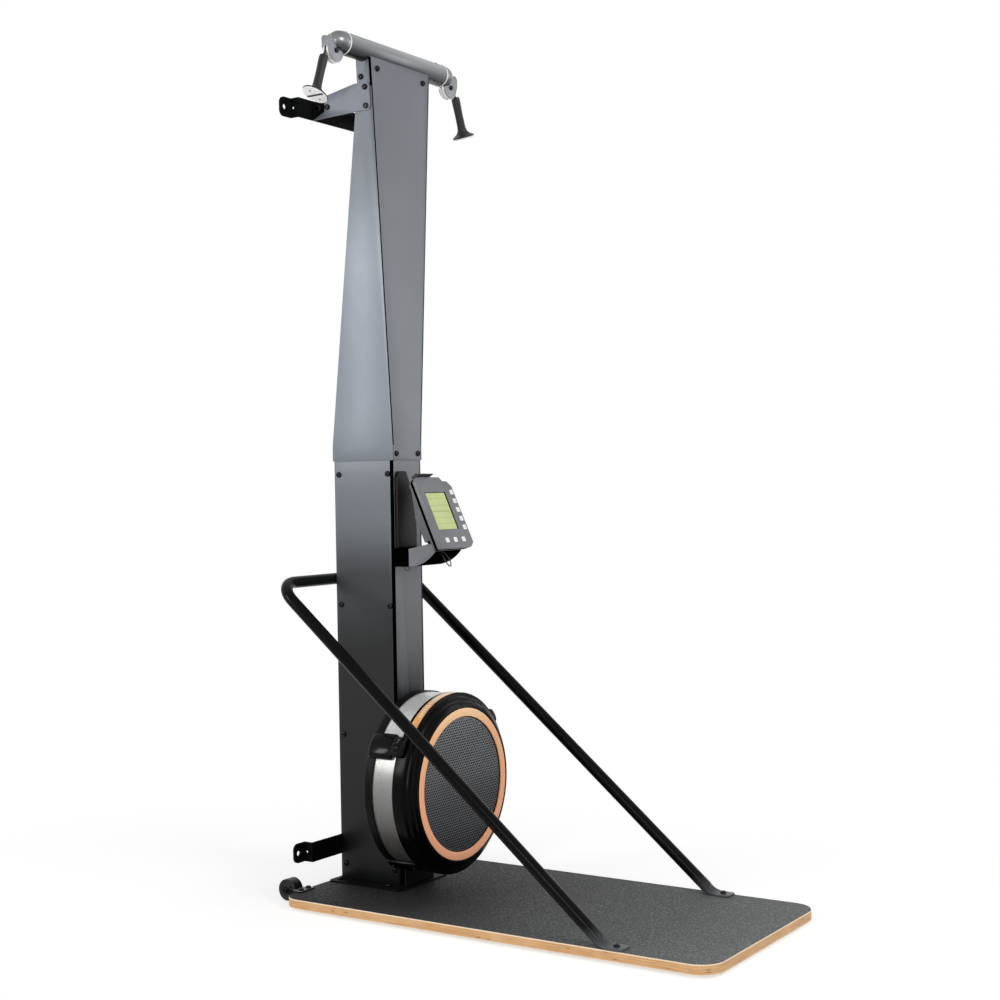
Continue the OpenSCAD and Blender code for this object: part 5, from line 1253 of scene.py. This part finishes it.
# deck, mat and wheels
deckFacts = {"half": 290, "front": -999.5, "back": 203.5, "frontRound": 60, "backRound": 50, "low": 8, "high": 31.5,
             "mat": 33, "matInset": 1.0}
wheelFacts = {"x": 208, "y": 240, "z": 31,  # then half a section: (radius, across, rounding)
              "half": [(4.2, -15, 0.4), (10, -15, 1), (11, -12.2, 0.8), (18.5, -12.2, 0.8), (20.5, -15, 1.2), (27.5, -15, 3.4)]}


def plyMaterial():
    # birch plywood: plies by height, end grain streaks along the edge, pale outer veneers
    paint, tree, where = newMaterial("birchPlywood")
    parts = axes(tree, where)
    height = remap(tree, parts[2], 0.008, 0.0315, 0.0, 9.0)
    wobble = noise(tree, where, 9.0, 2.0)
    shifted = calc(tree, "MULTIPLY_ADD", wobble[0], 0.25, height)
    ply = calc(tree, "PINGPONG", shifted, 1.0)
    band = remap(tree, ply, 0.35, 0.65, 0.0, 1.0, interpolation_type="SMOOTHSTEP")
    stretched = addNode(tree, "ShaderNodeMapping", {"Vector": where, "Scale": (16, 16, 700)})
    streak = noise(tree, stretched.outputs[0], 1.0, 5.0, 0.65)
    blotch = noise(tree, where, 14.0, 3.0)
    plies = mixColour(tree, band, "#dcaf7e", "#cb9a66")
    grain = remap(tree, streak[0], 0.42, 0.62, 0.0, 0.55)
    grained = mixColour(tree, grain, plies, "#a5763f")
    patch = remap(tree, blotch[0], 0.45, 0.7, 0.0, 0.4)
    patched = mixColour(tree, patch, grained, "#e2bb90")
    flat = addNode(tree, "ShaderNodeMapping", {"Vector": where, "Scale": (22, 22, 90)})
    spots = addNode(tree, "ShaderNodeTexVoronoi", {"Vector": flat.outputs[0], "Scale": 1.0})
    knot = remap(tree, spots.outputs["Distance"], 0.07, 0.2, 0.7, 0.0)
    patched = mixColour(tree, knot, patched, "#6f4a28")
    outer = remap(tree, calc(tree, "ABSOLUTE", calc(tree, "ADD", height, -4.5)), 3.55, 3.75, 0.0, 0.85)
    colour = mixColour(tree, outer, patched, "#f6e5ca")
    rough = remap(tree, streak[0], 0.3, 0.7, 0.42, 0.6)
    finishShader(tree, colour, rough, streak[0], 0.00025, {})
    return paint


def matMaterial():
    # black rubber sheet with a pebbled face, paler on the raised pebbles
    paint, tree, where = newMaterial("pebbledMat")
    wobble = noise(tree, where, 90.0, 2.0)
    bend = addNode(tree, "ShaderNodeVectorMath", {0: wobble["Color"], 1: (0.006, 0.006, 0.0), 2: where},
                   operation="MULTIPLY_ADD")
    pebble = addNode(tree, "ShaderNodeTexVoronoi", {"Vector": bend.outputs[0], "Scale": 230.0}, feature="SMOOTH_F1")
    pebble.inputs["Smoothness"].default_value = 0.35
    coarse = noise(tree, where, 130.0, 3.0, 0.6)
    both = calc(tree, "SUBTRACT", coarse[0], pebble.outputs["Distance"])
    tops = remap(tree, both, -0.05, 0.32, 0.0, 1.0, interpolation_type="SMOOTHSTEP")
    patch = noise(tree, where, 3.5, 3.0)
    tone = mixColour(tree, patch[0], "#767979", "#828585")
    # painted shade: darker close to the tower, where its shadow falls on the mat
    foot = addNode(tree, "ShaderNodeVectorMath", {0: where, 1: (0.0, 0.45, 0.03)}, operation="DISTANCE")
    outOfShadow = remap(tree, foot.outputs["Value"], 0.28, 1.15, 0.0, 1.0)
    ridge = mixColour(tree, outOfShadow, "#101111", tone)
    hollow = mixColour(tree, outOfShadow, "#030303", "#5a5d5d")
    colour = mixColour(tree, tops, hollow, ridge)
    rough = remap(tree, tops, 0.0, 1.0, 0.78, 0.5)
    finishShader(tree, colour, rough, tops, 0.0012, setting(shine=0.35))
    return paint


paints["plywood"], paints["mat"] = plyMaterial(), matMaterial()


def deckOutline(f, inset):
    half, front, back = f["half"] - inset, f["front"] + inset, f["back"] - inset
    corners = [(half, front, f["frontRound"] - inset), (half, back, f["backRound"] - inset),
               (-half, back, f["backRound"] - inset), (-half, front, f["frontRound"] - inset)]
    return [(x, y + towerY) for x, y in filleted(corners, 16, True)]


def makeDeck(f):
    here = Matrix.Identity(4)
    plate("plywoodDeck", "plywood", deckOutline(f, 0), f["low"], f["high"] - 0.02, here, 1.0, gone=("deck",))
    plate("rubberMat", "mat", deckOutline(f, f["matInset"]), f["high"], f["mat"], here, 0.7, gone=("deck_mat",))


def makeWheels(w):
    # a moulded tyre with a rounded tread and a recessed web on each side
    half = filleted(w["half"], 4)
    for side, sign in (("left", -1), ("right", 1)):
        turned(f"{side}Wheel", "wheelRubber", half + [(r, -h) for r, h in reversed(half)],
               acrossAt(sign * w["x"], w["y"], w["z"]), 96, True, gone=(f"{side}_wheel",), crease=35)


makeDeck(deckFacts)
makeWheels(wheelFacts)
print("deck and wheels made")

# monitor
monitorFacts = {
    "place": (0, -121, 989), "up": (0, 0.4067, 0.9135), "out": (0, -0.9135, 0.4067), "rims": 0.8,
    "outline": [(-75, -90, 3), (-72, -92, 3), (62, -92, 10), (77, -80, 10), (74, 77, 6), (60, 92, 6), (41, 93, 3), (32, 104, 3),
                (-66, 104, 6), (-75, 94, 6)],
    "clipEdge": 104.6, "gasket": (-17.6, -9.85, 0.5), "gasketMiddle": 6,
}
# the wide right and top margins leave room for a black frame that is painted shade of the well's walls
windowFacts = {"centre": (-9, 10), "size": (88, 104), "glass": (-2.9, -1.25), "frame": -1.1, "lips": -0.12,
               "left": 0.3, "right": 4.2, "low": 0.3, "high": 1.6}  # how far the lit field stays inside the window
keyFacts = {
    "size": 13.2, "round": 1.8, "rise": 2, "foot": -3.4,
    "side": [(62, v) for v in (60.5, 35.8, 11.1, -13.6, -38.3)], "menu": [(x, -71) for x in (-34, 1.8, 37.6)],
    "signs": ["bars", "wide", "up", "down", "round", "wide", "play", "bars"],
}
latchFacts = {"place": (-61, -57.6, -32), "line": [(0, -1, 0), (8, -1, 0), (8, 4.4, 1.6), (6, 7, 1.8), (0, 7, 0)]}
topClipFacts = {"x": -64, "long": 48, "line": [(14, 104.4, 0), (14, 112, 1), (-1.2, 115.5, 2), (-1.2, 104.4, 0)]}
sleeveFacts = {"half": 58.5, "front": -45.4, "back": -0.1, "thick": 0.6}
coverFacts = {"low": 0.03, "high": 12, "edge": 2.4, "line": [
    (-54.5, 903.25, 3), (24.5, 903.25, 6), (24.5, 962, 40), (2.5, 1062, 20), (-16.4, 1101, 5), (-46.6, 1101, 6), (-54.5, 1085, 8)]}


def facePlace(f):
    up, out = Vector(f["up"]), Vector(f["out"])
    across = up.cross(out).normalized()
    place = Matrix((across, up, out)).transposed().to_4x4()
    place.translation = spot(*f["place"])
    return place


onFace = facePlace(monitorFacts)


def screenMaterial():
    # grey-green liquid crystal glass with thin ruled lines
    paint, tree, where = newMaterial("screenGlass")
    uv = addNode(tree, "ShaderNodeTexCoord").outputs["UV"]
    parts = axes(tree, uv)
    cloud = noise(tree, where, 30.0, 2.0)
    base = mixColour(tree, cloud[0], "#b3c178", "#c1cd89")
    marks = None
    for level in (0.85, 0.66, 0.5, 0.33, 0.16):
        thick, dark = (0.011, 0.55) if level == 0.5 else (0.007, 0.35)
        gap = calc(tree, "ABSOLUTE", calc(tree, "SUBTRACT", parts[1], level))
        line = remap(tree, gap, thick * 0.6, thick * 1.2, dark, 0.0)
        marks = line if marks is None else calc(tree, "MAXIMUM", marks, line)
    line = remap(tree, calc(tree, "ABSOLUTE", calc(tree, "SUBTRACT", parts[0], 0.56)), 0.004, 0.009, 0.28, 0.0)
    split = calc(tree, "MULTIPLY", line, calc(tree, "GREATER_THAN", parts[1], 0.5))
    marks = calc(tree, "MAXIMUM", marks, split)
    colour = mixColour(tree, marks, base, "#5b6a3c")
    rough = remap(tree, cloud[0], 0.3, 0.7, 0.16, 0.24)
    finishShader(tree, colour, rough, cloud[0], 0.00001, {})
    return paint


paints["screen"] = screenMaterial()


def roundedBox(size, radius):
    h = size / 2
    return filleted([(h, -h, radius), (h, h, radius), (-h, h, radius), (-h, -h, radius)], 5, True)


def signShapes(kind):
    # a small printed sign for a key: triangles, bars or a disc
    if kind == "up":
        return [[(-2.6, -1.6), (2.6, -1.6), (0, 2.2)]]
    if kind == "down":
        return [[(-2.6, 1.6), (0, -2.2), (2.6, 1.6)]]
    if kind == "bars":
        return [rect(-3, y, 3, y + 0.9) for y in (-2.4, -0.45, 1.5)]
    if kind == "wide":
        return [rect(-3.2, y, 3.2, y + 1.1) for y in (-1.7, 0.6)]
    if kind == "play":
        return [[(-1.8, -2.6), (2.6, 0), (-1.8, 2.6)]]
    return [ovalLine(2.4, 2.4, 16)]


def makeKeys(k):
    kept = [(f"key_side_{i + 1}", p) for i, p in enumerate(k["side"])] + [(f"key_menu_{i + 1}", p) for i, p in enumerate(k["menu"])]
    for (node, (x, y)), sign in zip(kept, k["signs"]):
        place = onFace @ Matrix.Translation((x * mm, y * mm, 0))
        bm = bmesh.new()
        addPrism(bm, roundedBox(k["size"], k["round"]), k["foot"], k["rise"], place, 0.9, 4)
        blank = len(bm.faces)
        for shape in signShapes(sign):
            addPrism(bm, shape, k["rise"] - 0.3, k["rise"] + 0.04, place)
        bm.faces.ensure_lookup_table()
        for face in bm.faces[blank:]:
            face.material_index = 1
        name = node.replace("key_", "").replace("_", "Key")
        makePiece(name, bm, ["keyWhite", "keyMark"], gone=(node,), crease=50)


def makeScreen(w):
    # the lit field, a black frame along the right and top edges as painted shade of the well's walls, and thin dark
    # lips round the well
    (cx, cy), (wide, high) = w["centre"], w["size"]
    x0, x1, y0, y1 = cx - wide / 2, cx + wide / 2, cy - high / 2, cy + high / 2
    left, right, low, top = x0 + w["left"], x1 - w["right"], y0 + w["low"], y1 - w["high"]
    under, over = w["glass"]
    bm = bmesh.new()
    layer = bm.loops.layers.uv.verify()
    lit = rect(left, low, right, top)
    upper, lower = ([bm.verts.new(onFace @ (Vector((x, y, z)) * mm)) for x, y in lit] for z in (over, under))
    face = bm.faces.new(upper)
    for loop, uv in zip(face.loops, rect(0, 0, 1, 1)):
        loop[layer].uv = uv
    bm.faces.new(lower[::-1])
    for k in range(4):
        j = (k + 1) % 4
        bm.faces.new((upper[j], upper[k], lower[k], lower[j]))
    makePiece("screen", bm, "screen", gone=("lcd_window",), crease=30)
    bm = bmesh.new()
    for box in ((right + 0.02, y0 + 0.06, x1 - 0.06, y1 - 0.06), (x0 + 0.06, top + 0.02, right, y1 - 0.06)):
        addPrism(bm, rect(*box), under, w["frame"], onFace, 0.15)
    for sign in (-1, 1):
        x, y = cx + sign * (wide / 2 - 0.25), cy + sign * (high / 2 - 0.25)
        addPrism(bm, rect(x - 0.2, y0 + 0.05, x + 0.2, y1 - 0.05), under, w["lips"], onFace)
        addPrism(bm, rect(x0 + 0.5, y - 0.2, x1 - 0.5, y + 0.2), under, w["lips"], onFace)
    makePiece("screenFrame", bm, "clipBlack", near="lcd_window")


def makeMonitor(f):
    shell = softened("monitorFace", "monitor_face", "monitorGrey", f["rims"])
    shell.data.materials.append(paints["monitorDark"])
    inward = onFace.inverted()
    for face in shell.data.polygons:
        if (inward @ face.center).y > f["clipEdge"] * mm:
            face.material_index = 1
    softened("monitorBack", "monitor_back", "monitorShell", f["rims"])


def makeGasket(f):
    # black, between the face and the rear shell
    low, high, inset = f["gasket"]
    middle = f["gasketMiddle"]
    line = [(x - math.copysign(inset, x), y - math.copysign(inset, y - middle)) for x, y in filleted(f["outline"], 4, True)]
    plate("shellGasket", "jointBlack", line, low, high, onFace, near="monitor_back")


def makeLatch(f):
    # latch of the battery lid, under its lower end
    place = onFace @ Matrix.Translation(Vector(f["place"]) * mm) @ Matrix.Rotation(math.pi / 2, 4, "X")
    turned("batteryLatch", "clipBlack", filleted(f["line"], 4), place, 40, near="monitor_back")


def makeTopClip(f):
    # spring clip on the top edge, with a turned-up lip
    side = Matrix(((0, 0, 1, 0), (0, 1, 0, 0), (-1, 0, 0, 0), (0, 0, 0, 1)))
    place = onFace @ Matrix.Translation(Vector((f["x"], 0, 0)) * mm) @ side
    plate("topClip", "monitorDark", filleted(f["line"], 3, True), 0, f["long"], place, 0.5, near="monitor_face")


def makeArm(f):
    # grey outside; its underside and inner faces get black as painted shade; held to the tower by a black sleeve
    arm = softened("monitorArm", "monitor_arm", "monitorGrey", monitorFacts["rims"])
    arm.data.materials.append(paints["jointBlack"])
    # painted shade: faces pointing down, and inner faces, take the black finish
    for face in arm.data.polygons:
        if face.normal.z < -0.3 or (abs(face.center.x) < 56.6 * mm and face.normal.z < 0.5):
            face.material_index = 1
    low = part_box("monitor_arm")[0][2] / mm
    ground = Matrix.Translation((0, towerY * mm, 0))
    half, front, back = f["half"], f["front"], f["back"]
    bm = bmesh.new()
    for x0, x1 in ((-half, f["thick"] - half), (half - f["thick"], half)):
        addPrism(bm, rect(x0, front, x1, back), low - 0.4, armTop + 0.4, ground, 0.1, 2)
    for z0, z1 in ((low - 0.5, low + 0.05), (armTop - 0.05, armTop + 0.25)):
        addPrism(bm, rect(0.1 - half, front + 0.1, half - 0.1, back), z0, z1, ground)
    makePiece("armSleeve", bm, "jointBlack", near="monitor_arm")


def makeCover(f):
    # a cover with a narrow top, fuller on the left
    line = filleted(f["line"], 5, True)
    plate("towerCover", "coverBlack", line, f["low"], f["high"], standing(0), f["edge"], 4, gone=("tower_cover",))


makeMonitor(monitorFacts)
makeScreen(windowFacts)
makeGasket(monitorFacts)
makeLatch(latchFacts)
makeTopClip(topClipFacts)
makeArm(sleeveFacts)
makeCover(coverFacts)
makeKeys(keyFacts)
print("monitor made")

# pulleys, drums and bearings in their finishes
innerPieces = {
    "left_pulley": "pulleyWhite", "right_pulley": "pulleyWhite", "left_inner_pulley": "pulleyWhite",
    "right_inner_pulley": "pulleyWhite", "left_drum": "drumMetal", "right_drum": "drumMetal", "pulley_axles": "fastener",
    "axle_bearings": "bearingSteel", "fan_axle": "bearingSteel", "impeller": "impellerMetal",
}

for node, paint in innerPieces.items():
    nodes[node].data.materials.clear()
    nodes[node].data.materials.append(paints[paint])
